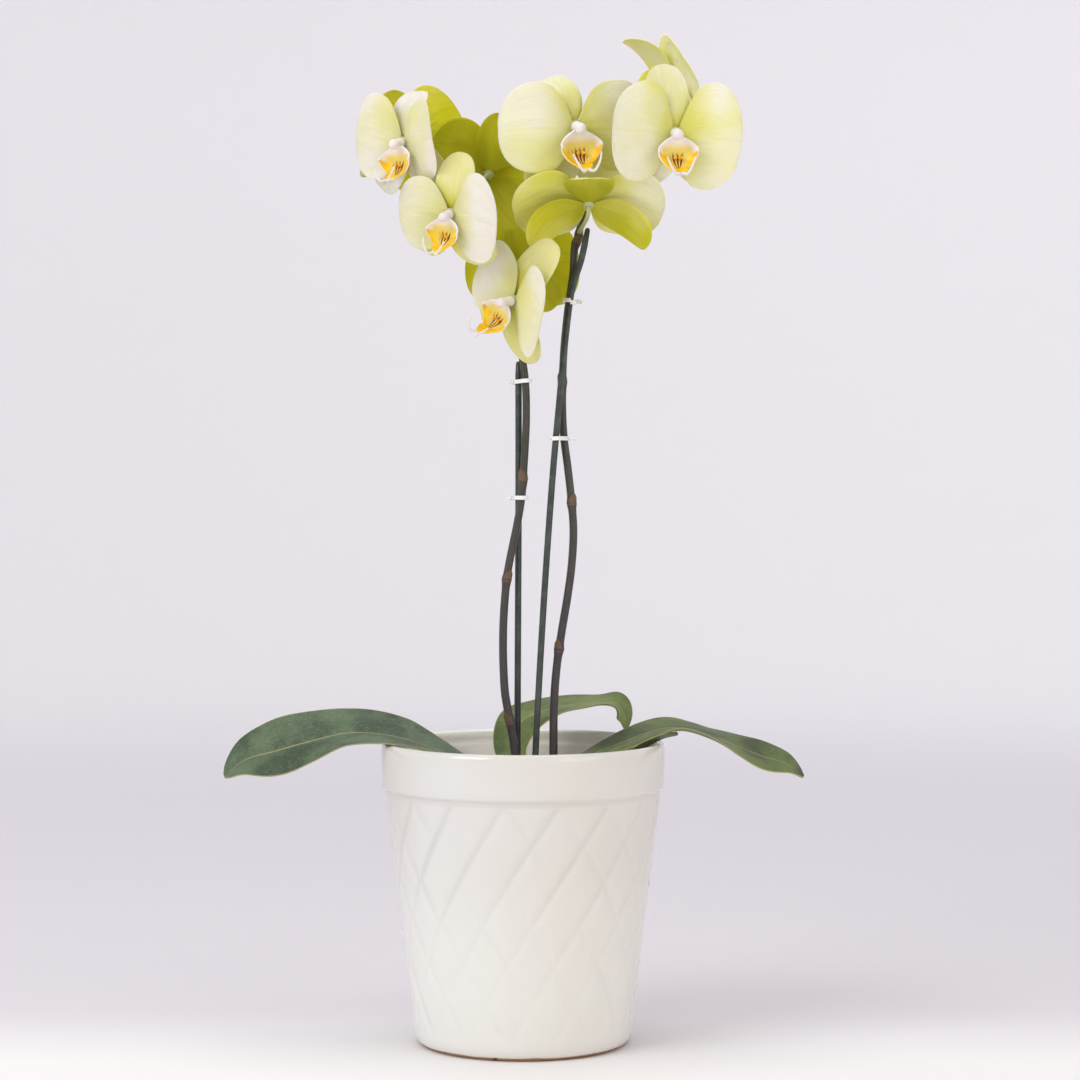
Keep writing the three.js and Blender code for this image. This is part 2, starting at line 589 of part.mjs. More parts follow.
// One spike: its stem, its flowering end, its joints and the stalks of its blooms
function makeSpike(side) {
  const [stemPoints, rachisPoints, joints, rachisSteps] = side === 'left'
    ? [LEFT_STEM, LEFT_RACHIS, LEFT_JOINTS, 11] : [RIGHT_STEM, RIGHT_RACHIS, RIGHT_JOINTS, 7];
  const stem = curveThrough(stemPoints);
  const rachis = curveThrough(rachisPoints);
  const fork = new THREE.IcosahedronGeometry(STEM_RADIUS * 1.2).translate(...stemPoints.at(-1));
  const parts = [rod(stem, STEM_RADIUS, 6, 18), rod(rachis, RACHIS_RADIUS, 5, rachisSteps), fork];
  for (const height of joints) {
    const { point, tangent } = pointAtHeight(stem, height);
    parts.push(ring(point, tangent, STEM_RADIUS, JOINT_SWELLING, JOINT_HEIGHT, 6));
  }
  for (const bloom of BLOOMS.filter(({ from }) => from === side)) {
    parts.push(pedicel(bloom, rachis));
  }
  if (side === 'left') {
    const bud = new THREE.SphereGeometry(1, 6, 5).scale(BUD_RADIUS, BUD_RADIUS, BUD_LENGTH / 2);
    parts.push(bud.rotateY(0.7).translate(...rachisPoints.at(-1)));
  }
  return toGeometry(fuse(parts));
}

function makeStake(points) {
  return rod(curveThrough(points), STAKE_RADIUS, 6, 10);
}

// A loop of coated wire round a stem and its stake, with a twisted end
function makeTie({ height, side, ear }, stemPoints, stakePoints) {
  const stem = pointAtHeight(curveThrough(stemPoints), height);
  const stake = pointAtHeight(curveThrough(stakePoints), height);
  const middle = stem.point.clone().add(stake.point).multiplyScalar(0.5);
  const across = stake.point.clone().sub(stem.point);
  const half = across.length() / 2;
  const inner = STEM_RADIUS + FIT_GAP + 0.1;
  const outline = (radius) => {
    const points = [];
    for (const [centre, start] of [[half, -Math.PI / 2], [-half, Math.PI / 2]]) {
      for (let step = 0; step <= 3; step += 1) {
        const angle = start + Math.PI * step / 3;
        points.push(new THREE.Vector2(centre + radius * Math.cos(angle), radius * Math.sin(angle)));
      }
    }
    return points;
  };
  const loop = new THREE.Shape(outline(inner + TIE_WALL));
  loop.holes.push(new THREE.Path(outline(inner / Math.cos(Math.PI / 6)).reverse()));
  const band = new THREE.ExtrudeGeometry(loop, { depth: TIE_HEIGHT, bevelEnabled: false });
  band.translate(0, 0, -TIE_HEIGHT / 2);
  const up = stem.tangent.clone().add(stake.tangent).normalize();
  const along = across.addScaledVector(up, -across.dot(up)).normalize();
  const sideways = new THREE.Vector3().crossVectors(up, along);
  band.applyMatrix4(new THREE.Matrix4().makeBasis(along, sideways, up).setPosition(middle));
  const reach = half * Math.abs(along.x) + inner + TIE_WALL * 0.6;
  const earPoints = [
    [middle.x + side * (reach - 0.6), middle.y, middle.z],
    [middle.x + side * (reach + ear * 0.5), middle.y - 1, middle.z + 0.4],
    [middle.x + side * (reach + ear), middle.y - 1.6, middle.z - 0.6],
  ];
  return toGeometry(fuse([band, rod(curveThrough(earPoints), TIE_EAR_RADIUS, 4, 2)]));
}

const plant = new THREE.Group();

function add(name, geometry, finish) {
  const material = new THREE.MeshStandardMaterial({ ...finish, metalness: 0 });
  const mesh = new THREE.Mesh(geometry, material);
  mesh.name = name;
  plant.add(mesh);
}

// The clear space round a stem or stake, which starts a little below its lower end
function clearSpace(points, radius, steps) {
  const [[x, y, z], ...rest] = points;
  return rod(curveThrough([[x, y, z - FIT_GAP], ...rest]), radius + FIT_GAP, 6, steps);
}

const stakeHoles = [LEFT_STAKE, RIGHT_STAKE].map((points) => clearSpace(points, STAKE_RADIUS, 12));
const stemHoles = [LEFT_STEM, RIGHT_STEM].map((points) => clearSpace(points, STEM_RADIUS, 18));

add('pot', makePot(), COLOURS.pot);
add('bark', makeBark([...stakeHoles, ...stemHoles]), COLOURS.bark);
const crown = fuse(crownGeometries(0)).subtract(fuse([...stakeHoles, ...stemHoles]));
add('crown', toGeometry(crown), COLOURS.crown);
for (const leaf of LEAVES) {
  const whole = toSolid(blade(leafSurface(leaf), 10, 4, LEAF_THICKNESS));
  const clear = fuse([...crownGeometries(FIT_GAP), ...stakeHoles, ...stemHoles]);
  add(leaf.name, toGeometry(whole.subtract(clear)), COLOURS.leaf);
}
add('spike_left', makeSpike('left'), COLOURS.spike);
add('spike_right', makeSpike('right'), COLOURS.spike);
add('stake_left', makeStake(LEFT_STAKE), COLOURS.stake);
add('stake_right', makeStake(RIGHT_STAKE), COLOURS.stake);
for (const tie of TIES) {
  const [stem, stake] = tie.side < 0 ? [LEFT_STEM, LEFT_STAKE] : [RIGHT_STEM, RIGHT_STAKE];
  add(tie.name, makeTie(tie, stem, stake), COLOURS.tie);
}
BLOOMS.forEach((bloom, place) => {
  add(`bloom_${place + 1}`, makeBloom(bloom), COLOURS.bloom);
  add(`lip_${place + 1}`, makeLip(bloom), COLOURS.lip);
});

export default plant;
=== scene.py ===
# %% [markdown]
# # A potted orchid
# This lesson dresses a potted orchid in Blender, piece by piece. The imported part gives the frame: it says
# where each piece stands and how large it is. Each piece is then modelled again with finer shapes and
# given a finish. Blender counts in metres, but a plant is easier to think about in millimetres, so
# the shapes are written in millimetres and scaled at the end.

# %% Load the frame
import math
import random

import bpy
import numpy as np
from mathutils import Matrix, Vector


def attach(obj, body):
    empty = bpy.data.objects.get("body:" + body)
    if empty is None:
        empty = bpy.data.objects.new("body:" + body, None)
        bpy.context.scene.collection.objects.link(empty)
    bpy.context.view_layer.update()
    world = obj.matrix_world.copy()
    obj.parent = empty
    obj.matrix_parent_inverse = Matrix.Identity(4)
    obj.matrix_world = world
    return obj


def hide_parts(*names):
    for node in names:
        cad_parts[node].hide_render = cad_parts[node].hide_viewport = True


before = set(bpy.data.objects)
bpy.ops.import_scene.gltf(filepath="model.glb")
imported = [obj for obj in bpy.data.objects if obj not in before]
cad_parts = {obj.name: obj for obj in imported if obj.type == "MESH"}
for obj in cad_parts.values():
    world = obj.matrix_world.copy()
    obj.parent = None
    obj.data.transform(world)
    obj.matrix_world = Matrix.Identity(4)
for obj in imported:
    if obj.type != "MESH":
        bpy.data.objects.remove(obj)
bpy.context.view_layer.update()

MM = 0.001
bpy.ops.object.select_all(action="DESELECT")
print("CAD nodes:", len(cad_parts))

# %% [markdown]
# ## Camera, backdrop and light
# The plant was seen from almost two metres away, a little above its middle. A long lens from far away
# keeps upright things upright, so the camera tilts down by less than two degrees. The backdrop
# is one round sheet: it lies flat as a white table, then bends up into a pale lavender grey wall, which
# stands far enough away on every side to look at the plant from anywhere. The wall glows a little,
# because soft lamps near the plant barely reach it.

# %% Camera
CAMERA_PLACE = (0.0102, -1.798, 0.356)
CAMERA_TILT = math.radians(1.67)
SENSOR_WIDTH = 36
FOCAL_PIXELS, FRAME_PIXELS = 2985, 1080

bpy.ops.object.camera_add(location=CAMERA_PLACE, rotation=(math.pi / 2 - CAMERA_TILT, 0, 0))
camera = bpy.context.object
camera.name = "studio_camera"
camera.data.sensor_width = SENSOR_WIDTH
camera.data.lens = SENSOR_WIDTH * FOCAL_PIXELS / FRAME_PIXELS
bpy.context.scene.camera = camera
bpy.context.scene.view_settings.view_transform = "Standard"
print("lens", round(camera.data.lens, 1), "mm")


# %% Helpers for finishes
def tone(red, green, blue):
    """A colour as the eye reads it, 0 to 255 a channel, in the light units that shaders use."""
    parts = []
    for value in (red, green, blue):
        value /= 255
        parts.append(value / 12.92 if value <= 0.04045 else ((value + 0.055) / 1.055) ** 2.4)
    return (*parts, 1)


class Finish:
    """A material whose node tree is built with short calls. Each call returns the new node's output."""

    def __init__(self, name, roughness=0.5, specular=0.5):
        self.material = bpy.data.materials.new(name)
        self.material.use_nodes = True
        self.tree = self.material.node_tree
        self.shader = self.tree.nodes["Principled BSDF"]
        self.shade({"Roughness": roughness, "Specular IOR Level": specular})
        self.place = self.node("TexCoord", "Object", {})

    def fill(self, node, values):
        """Fills a node's inputs with fixed values or with the outputs of other nodes."""
        for name, value in values.items():
            if isinstance(value, bpy.types.NodeSocket):
                self.tree.links.new(value, node.inputs[name])
            else:
                node.inputs[name].default_value = value

    def node(self, kind, output, values, **settings):
        """Makes a node with its settings, fills its inputs, and returns the output that is asked for."""
        node = self.tree.nodes.new("ShaderNode" + kind)
        for name, setting in settings.items():
            setattr(node, name, setting)
        self.fill(node, values)
        return node.outputs[output]

    def shade(self, values):
        self.fill(self.shader, values)

    def colour(self, value):
        self.shade({"Base Color": value})

    def relief(self, height, strength, depth):
        values = {"Height": height, "Strength": strength, "Distance": depth}
        self.shade({"Normal": self.node("Bump", "Normal", values)})

    def on_blade(self):
        """A blade's own map: the place on it, its share of the length, how far it lies to one side of the
        middle line, and how far to either side: 0 on the line and 0.5 at the edge."""
        surface = self.node("UVMap", "UV", {})
        along, across, _ = self.split(surface)
        aside = self.calc("SUBTRACT", across, 0.5)
        return surface, along, aside, self.calc("ABSOLUTE", aside)

    def split(self, vector):
        return self.node("SeparateXYZ", "X", {"Vector": vector}).node.outputs

    def noise(self, scale, detail=3.0, roughness=0.5, distortion=0.0, stretch=(1, 1, 1), place=None):
        """A noise over the object's space, or over another place, stretched along its axes."""
        stretched = self.node("Mapping", "Vector", {"Vector": place or self.place, "Scale": stretch})
        values = {"Vector": stretched, "Scale": scale, "Detail": detail, "Roughness": roughness,
                  "Distortion": distortion}
        return self.node("TexNoise", "Fac", values)

    def calc(self, operation, *values):
        return self.node("Math", 0, dict(enumerate(values)), operation=operation)

    def times(self, product, *values):
        for value in values:
            product = self.calc("MULTIPLY", product, value)
        return product

    def off_axis(self, across, depth):
        """How far a place stands from the upright line through the middle of the pot."""
        return self.calc("SQRT", self.calc("ADD", self.times(across, across), self.times(depth, depth)))

    def span(self, value, low, high, start=0.0, end=1.0):
        """Start where value is low, end where it is high, and a smooth run between them."""
        values = {"Value": value, "From Min": low, "From Max": high, "To Min": start, "To Max": end}
        return self.node("MapRange", "Result", values, interpolation_type="SMOOTHSTEP")

    def blend(self, share, first, second):
        """A mix of two colours, each the output of another node or a tone of 0 to 255 a channel."""
        first, second = (tone(*end) if isinstance(end, tuple) else end for end in (first, second))
        return self.node("Mix", "Result", {"Factor": share, "A": first, "B": second}, data_type="RGBA")


def mottled(name, scale, first, second, roughness, detail=3, band=None, relief=None, specular=0.5):
    """A whole material: two tones that follow a noise, or only a band of its values, and perhaps a relief
    with its own scale, strength and depth."""
    finish = Finish(name, roughness, specular)
    share = finish.noise(scale, detail)
    if band:
        share = finish.span(share, *band)
    finish.colour(finish.blend(share, first, second))
    if relief:
        relief_scale, strength, depth = relief
        finish.relief(finish.noise(relief_scale), strength, depth)
    return finish.material


print("tone of a mid grey:", tuple(round(part, 3) for part in tone(128, 128, 128)))


# %% Helpers for pieces
def start_clean():
    if bpy.context.object and bpy.context.object.mode != "OBJECT":
        bpy.ops.object.mode_set(mode="OBJECT")
    bpy.ops.object.select_all(action="DESELECT")


def pick(*pieces):
    """Selects these pieces alone, with the first of them active."""
    start_clean()
    for piece in pieces:
        piece.select_set(True)
    bpy.context.view_layer.objects.active = pieces[0]


def settle(piece, *finishes):
    """Gives a piece its finishes and moves its place, turn and size into its mesh."""
    pick(piece)
    bpy.ops.object.transform_apply(location=True, rotation=True, scale=True)
    piece.data.materials.clear()
    for finish in finishes:
        piece.data.materials.append(finish)
    return piece


def join(name, pieces):
    pick(*pieces)
    bpy.ops.object.join()
    whole = bpy.context.object
    whole.name = name
    whole.data.name = name
    return whole


def apply_modifiers(piece):
    pick(piece)
    for modifier in list(piece.modifiers):
        bpy.ops.object.modifier_apply(modifier=modifier.name)


def hand_over(piece, node):
    """Ends a piece: smooth shading, a place under the root, and the node it stands for hidden."""
    pick(piece)
    bpy.ops.object.shade_smooth_by_angle(angle=math.radians(50))
    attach(piece, "root")
    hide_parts(node)
    faces = sum(len(face.vertices) - 2 for face in piece.data.polygons)
    print(f"{piece.name}: {faces} triangles")


# %% Helpers for points
def read_points(mesh):
    flat = np.empty(len(mesh.vertices) * 3)
    mesh.vertices.foreach_get("co", flat)
    return flat.reshape(-1, 3)


def write_points(mesh, points):
    mesh.vertices.foreach_set("co", np.ascontiguousarray(points, dtype=float).ravel())
    mesh.update()


def moved(points, matrix):
    """Points after the turn, size and move of a 4 by 4 matrix."""
    return (np.column_stack([points, np.ones(len(points))]) @ np.array(matrix).T)[:, :3]


def new_grid(name, rows, columns):
    """A flat grid to bend. With it come the shares, 0 to 1, of each of its points along and across it."""
    start_clean()
    bpy.ops.mesh.primitive_grid_add(x_subdivisions=rows, y_subdivisions=columns, size=1)
    piece = bpy.context.object
    piece.name = name
    along, across, _ = read_points(piece.data).T + 0.5
    return piece, along, across


def new_ball(segments, rings):
    """A ball to reshape. With it come each point's angle, its share of the height and of the width."""
    start_clean()
    bpy.ops.mesh.primitive_uv_sphere_add(segments=segments, ring_count=rings, radius=1)
    x, y, z = read_points(bpy.context.object.data).T
    return bpy.context.object, np.arctan2(y, x), (z + 1) / 2, np.hypot(x, y)


def wrap_round(piece, turn, radius, height):
    """Bends a grid once round the upright axis, by shares of a turn, and closes its seam and middle."""
    angle = turn * 2 * math.pi
    write_points(piece.data, np.column_stack([radius * np.cos(angle), radius * np.sin(angle), height]))
    bpy.ops.object.mode_set(mode="EDIT")
    bpy.ops.mesh.select_all(action="SELECT")
    bpy.ops.mesh.remove_doubles(threshold=0.02 * MM)
    bpy.ops.mesh.normals_make_consistent(inside=False)
    bpy.ops.object.mode_set(mode="OBJECT")


def face_up(piece):
    """Turns the faces of an open sheet to look up."""
    if sum(face.normal.z * face.area for face in piece.data.polygons) < 0:
        piece.data.flip_normals()


print("helpers ready")

# %% The table and the wall round it
SHEET_LENGTH, FLAT_LENGTH, BEND_RADIUS = 5.2, 2.3, 0.9

backdrop, turn, outward = new_grid("table_and_wall", 96, 40)
run = outward * SHEET_LENGTH
bent = np.clip((run - FLAT_LENGTH) / BEND_RADIUS, 0, math.pi / 2)
upright = np.maximum(run - FLAT_LENGTH - BEND_RADIUS * math.pi / 2, 0)
away = np.minimum(run, FLAT_LENGTH) + BEND_RADIUS * np.sin(bent)
wrap_round(backdrop, turn, away, BEND_RADIUS * (1 - np.cos(bent)) + upright)
face_up(backdrop)
paper = Finish("studio_paper", roughness=0.9, specular=0.2)
across, depth, _ = paper.split(paper.place)
wall_tone = paper.blend(paper.span(across, -1.3, 1.4), (230, 228, 231), (238, 236, 239))
far = paper.off_axis(across, depth)
# Painted shade: the table is painted greyer from just in front of the pot backwards, as the pot's broad
# shadow and the shade along the bend.
table_with_painted_shade = paper.blend(paper.span(depth, -0.08, 0.12), (246, 244, 242), (226, 221, 226))
paper.colour(paper.blend(paper.span(far, 1.2, 2.6), table_with_painted_shade, wall_tone))
glow = paper.blend(paper.span(far, 0.4, 2.7), (0, 0, 0), (237, 236, 239))
paper.shade({"Emission Color": glow, "Emission Strength": 0.18})
settle(backdrop, paper.material)
bpy.ops.object.shade_smooth()
print("the wall stands", round(float(away.max()), 2), "m from the middle of the pot on every side")


# %% Soft studio light
def soft_lamp(name, place, target, size, power, colour):
    bpy.ops.object.light_add(type="AREA", location=place)
    lamp = bpy.context.object
    lamp.name = name
    lamp.data.shape = "SQUARE"
    lamp.data.size = size
    lamp.data.energy = power
    lamp.data.color = colour
    lamp.visible_camera = False
    aim = Vector(target) - Vector(place)
    lamp.rotation_euler = aim.to_track_quat("-Z", "Y").to_euler()


soft_lamp("key_light", (-1.5, -1.4, 1.7), (0, 0, 0.35), 1.3, 22.5, (1, 0.99, 0.965))
soft_lamp("fill_light", (1.6, -1.5, 0.9), (0, 0, 0.3), 1.5, 7.5, (1, 0.94, 0.86))
soft_lamp("top_light", (0, 0.2, 2.1), (0, 0, 0.3), 1.2, 11, (0.98, 0.99, 1))
world = bpy.context.scene.world or bpy.data.worlds.new("studio_air")
bpy.context.scene.world = world
world.use_nodes = True
air = world.node_tree.nodes["Background"]
air.inputs["Color"].default_value = (0.97, 0.965, 1, 1)
air.inputs["Strength"].default_value = 0.52
print("three soft lamps and a pale sky")

# %% [markdown]
# ## The glazed pot
# The pot is cast stoneware under a thick white glaze, with a plain band at the rim and a lattice of
# soft diagonal grooves below it. A spin of a profile would make the plain shape, but the grooves cross it
# aslant. So a flat grid is wrapped once around: its rows follow the wall from under the foot, up
# the outside, over the rim and down the inside, and each point then sinks by the depth of the grooves there.

# %% The pot's wall as a profile
BODY_BOTTOM, BODY_TOP = 8, 152
BODY_BOTTOM_RADIUS, BODY_MIDDLE_RADIUS, BODY_TOP_RADIUS = 65.8, 75, 83
WALL_SLOPE = (BODY_TOP_RADIUS - BODY_BOTTOM_RADIUS) / (BODY_TOP - BODY_BOTTOM)

pot_corners = [
    (0, 0), (30, 0), (59, 0), (61.3, 0.35), (62.4, 1.2), (63.9, 2.6), (64.9, 4.6), (65.8, 8),
    (83, 152), (83, 153.2), (83.2, 153.9), (83.9, 154.5), (84.6, 155.1), (84.9, 156.2), (85.5, 176.5),
    (85.4, 179), (84.8, 180.9), (83.7, 181.8), (82.6, 182), (81.5, 181.7), (80.6, 180.6), (80.3, 178.6),
    (80.2, 175.2), (80, 174), (79.3, 173.1), (79.1, 171.5), (60.4, 18), (58.6, 14), (55.5, 12), (30, 12),
    (0, 12),
]
row_counts = [2, 3, 1, 1, 1, 1, 1, 96, 1, 1, 1, 1, 1, 8, 2, 1, 1, 1, 1, 1, 1, 2, 1, 1, 1, 6, 2, 2, 2, 2]
corner_rows = np.concatenate([[0], np.cumsum(row_counts)])
rows = np.arange(corner_rows[-1] + 1)
wall = np.column_stack([np.interp(rows, corner_rows, values) for values in zip(*pot_corners)])
print("rows in the wall:", len(wall))


# %% Wrap a grid round the pot
GROOVE_TURN = 2 * math.pi / 16
GROOVE_START = math.radians(-7.2)
GROOVE_DROP = 48
DEEP_DEPTH, DEEP_WIDTH = 1.35, 3.2
SHALLOW_DEPTH, SHALLOW_WIDTH = 1.05, 4


def groove_depth(angle, height):
    """How deep the two sets of slanting grooves are at a place of the wall, in millimetres."""
    row = (height - BODY_BOTTOM) / GROOVE_DROP
    line = (angle - GROOVE_START) / GROOVE_TURN
    rising, falling = (np.abs((slant + 0.5) % 1 - 0.5) * GROOVE_TURN * BODY_MIDDLE_RADIUS
                       for slant in (line - row, line + row))
    inside = np.clip((height - BODY_BOTTOM) / 10, 0, 1) * np.clip((BODY_TOP + 0.5 - height) / 3, 0, 1)
    uneven = 0.86 + 0.14 * np.sin(3 * angle + height / 21) * np.sin(2 * angle - height / 34)
    patchy = 0.62 + 0.38 * np.sin(2 * line + 1.7 * row + 0.6) * np.sin(0.9 * line - 2.3 * row)
    deep = DEEP_DEPTH * np.exp(-(rising / DEEP_WIDTH) ** 2)
    deep = deep * (0.35 + 0.65 * np.clip((height - 30) / 100, 0, 1)) * (0.78 + 0.22 * np.cos(angle + 2.1))
    shallow = SHALLOW_DEPTH * np.exp(-(falling / SHALLOW_WIDTH) ** 2) * patchy
    return np.maximum(deep, shallow) * inside * uneven


POT_COLUMNS = 448
pot, turn, along = new_grid("glazed_pot", POT_COLUMNS, len(wall) - 1)
row = np.rint(along * (len(wall) - 1)).astype(int)
radius, height = wall[row].T
outside = row <= np.argmax(wall[:, 1])
radius = radius - np.where(outside, groove_depth(turn * 2 * math.pi, height), 0)
wrap_round(pot, turn, radius * MM, height * MM)
print("pot points:", len(pot.data.vertices))

# %% [markdown]
# ## The glaze
# A fired glaze is a layer of glass over clay. It is white with a faint warm cloudiness and leaves a thin
# bare line of clay at the foot, where the pot stood in the kiln. One small chip at the foot shows the dark
# clay. Painted shade makes the glaze a little greyer in the grooves, a painted shadow lines the foot of the
# band, painted light brightens the inside, and the right side is painted warmer as warm light. The depth of
# the grooves is worked out again in the nodes, as how far a point lies behind the plain wall, so colour and
# shape agree.

# %% Glaze finish
glaze = Finish("white_glaze", roughness=0.16)
across, back, up = glaze.split(glaze.place)
cloud = glaze.noise(9, detail=2)
body = glaze.blend(glaze.span(cloud, 0.35, 0.65), (222, 221, 218), (216, 213, 206))
body = glaze.blend(glaze.span(up, 0.03, 0.15, 0.85, 0), body, (236, 237, 232))
# Painted light: the right side of the pot is painted warmer, standing in for warm light from that side.
body = glaze.blend(glaze.span(across, -0.06, 0.03, 0, 0.35), body, (222, 214, 198))
distance = glaze.off_axis(across, back)
plain_wall = glaze.calc("MULTIPLY_ADD", up, WALL_SLOPE, (BODY_BOTTOM_RADIUS - WALL_SLOPE * BODY_BOTTOM) * MM)
sunk = glaze.calc("SUBTRACT", plain_wall, distance)
# Painted shade: the glaze is painted greyer where the wall sinks into a groove.
groove_painted_shade = glaze.times(glaze.span(sunk, 0.0004, 0.0016), glaze.span(up, 0.012, 0.018),
                     glaze.span(up, 0.1515, 0.1535, 1, 0), 0.42)
body = glaze.blend(groove_painted_shade, body, (192, 189, 184))
# Painted shadow: a thin grey line just under the rim's band, where the band casts its shadow.
band_painted_shadow = glaze.times(glaze.span(up, 0.15, 0.1522), glaze.span(up, 0.1532, 0.1545, 1, 0),
                    glaze.span(distance, 0.0805, 0.0815), 0.2)
body = glaze.blend(band_painted_shadow, body, (184, 180, 172))
# Painted light: the inside wall above the bark is painted nearly white, to lift the shade inside the pot.
inside_painted_light = glaze.times(glaze.span(sunk, 0.0035, 0.0045), glaze.span(up, 0.1, 0.14))
body = glaze.blend(inside_painted_light, body, (252, 250, 238))
edge = glaze.calc("MULTIPLY_ADD", glaze.noise(60, detail=2), 0.0014, 0.0014)
bare = glaze.span(glaze.calc("SUBTRACT", up, edge), -0.0002, 0.0003, 1, 0)
clay = glaze.blend(glaze.noise(700), (140, 96, 62), (186, 146, 106))
from_chip = glaze.calc("ABSOLUTE", glaze.calc("ADD", across, 0.016))
chip = glaze.calc("MULTIPLY_ADD", glaze.noise(400), 0.0016, from_chip)
chip = glaze.times(glaze.span(chip, 0.0014, 0.0026, 1, 0), glaze.span(up, 0.0018, 0.003, 1, 0),
                   glaze.span(back, -0.05, -0.04, 1, 0))
bare = glaze.calc("MAXIMUM", bare, chip)
clay = glaze.blend(chip, clay, (74, 52, 38))
glaze.colour(glaze.blend(bare, body, clay))
glaze.shade({"Roughness": glaze.span(bare, 0, 1, 0.16, 0.85), "Coat Weight": 0.35, "Coat Roughness": 0.05})
glaze.relief(glaze.noise(45, detail=2), 0.18, 0.0006)
settle(pot, glaze.material)
hand_over(pot, "pot")

# %% [markdown]
# ## Curves through points
# Stems, stakes and leaves follow smooth curves through a few measured points. The curve used
# here passes through each point and spaces its bends by the distance between them, so it doesn't
# overshoot. The same rule gives points for stems and middle lines for leaves.

# %% Smooth curves
def on_curve(points, share):
    """A place on the smooth curve through points, for a share from 0 to 1 of its spans."""
    points = np.asarray(points, dtype=float)
    last = len(points) - 1
    span = min(int(share * last), last - 1)
    part = share * last - span
    middle = points[span], points[span + 1]
    before = points[span - 1] if span else 2 * points[0] - points[1]
    after = points[span + 2] if span + 2 <= last else 2 * points[last] - points[last - 1]
    gaps = [max(np.linalg.norm(b - a), 1e-9) ** 0.5
            for a, b in ((before, middle[0]), middle, (middle[1], after))]
    leave = ((middle[0] - before) / gaps[0] - (middle[1] - before) / (gaps[0] + gaps[1])
             + (middle[1] - middle[0]) / gaps[1]) * gaps[1]
    reach = ((middle[1] - middle[0]) / gaps[1] - (after - middle[0]) / (gaps[1] + gaps[2])
             + (after - middle[1]) / gaps[2]) * gaps[1]
    a = 2 * middle[0] - 2 * middle[1] + leave + reach
    b = -3 * middle[0] + 3 * middle[1] - 2 * leave - reach
    return ((a * part + b) * part + leave) * part + middle[0]


def even_points(points, count):
    """Points at even distances along the smooth curve."""
    fine = np.array([on_curve(points, share) for share in np.linspace(0, 1, 400)])
    run = np.concatenate([[0], np.cumsum(np.linalg.norm(np.diff(fine, axis=0), axis=1))])
    wanted = np.linspace(0, run[-1], count)
    return np.column_stack([np.interp(wanted, run, fine[:, axis]) for axis in range(3)])


def make_rod(name, path, radii, finish, sides=4):
    """A round rod along a path. radii is one radius or one for each point, in millimetres."""
    start_clean()
    bpy.ops.curve.primitive_nurbs_path_add()
    rod = bpy.context.object
    rod.data.splines.clear()
    line = rod.data.splines.new("POLY")
    line.points.add(len(path) - 1)
    radii = np.broadcast_to(np.asarray(radii, dtype=float), len(path))
    for point, place, radius in zip(line.points, path, radii):
        point.co = (*(np.asarray(place) * MM), 1)
        point.radius = radius
    rod.data.dimensions = "3D"
    rod.data.bevel_depth = MM
    rod.data.bevel_resolution = sides
    rod.data.use_fill_caps = True
    bpy.ops.object.convert(target="MESH")
    rod = bpy.context.object
    rod.name = name
    return settle(rod, finish)


print("a curve through three corners:", on_curve([(0, 0, 0), (1, 0, 0), (1, 1, 0)], 0.5))

# %% [markdown]
# ## Bark and crown
# Orchids of this kind live in coarse bark, not in soil. A bed fills the pot, and a few hundred chips lie
# on it. One chip is made, and its copies are dented, turned and sized at random with a fixed seed, so each
# run gives the same pot. The crown is the short stem that the leaves grow from, with thick silvery roots.

# %% Bark finish
bark = Finish("pine_bark", roughness=0.85, specular=0.3)
chip_tone = bark.noise(120, detail=4, roughness=0.65)
bark_colour = bark.blend(bark.span(chip_tone, 0.35, 0.62), (52, 33, 22), (128, 86, 56))
splinters = bark.span(bark.noise(420, detail=5), 0.55, 0.75)
bark.colour(bark.blend(splinters, bark_colour, (170, 130, 92)))
bark.relief(bark.noise(380, detail=6, roughness=0.7, stretch=(1, 1, 2.4)), 0.8, 0.0012)
print("bark finish made")

# %% The bed of bark
bed_corners = [(0, 12.4), (40, 12.4), (54.5, 12.4), (59.2, 17.2), (68.4, 90), (75.2, 143), (72, 146.5),
               (50, 147.4), (25, 147), (0, 147.6)]
bed, turn, along = new_grid("bark_bed", 72, len(bed_corners) * 2 - 2)
corner = along * (len(bed_corners) - 1)
radius, height = (np.interp(corner, range(len(bed_corners)), values) for values in zip(*bed_corners))
angle = turn * 2 * math.pi
humps = 1.1 * np.sin(radius * 0.9 + 5 * angle) * np.sin(3 * angle) * radius / 75
wrap_round(bed, turn, radius * MM, (height + np.where(corner > 6.2, humps, 0)) * MM)
settle(bed, bark.material)
print("bed of bark:", len(bed.data.polygons), "faces")

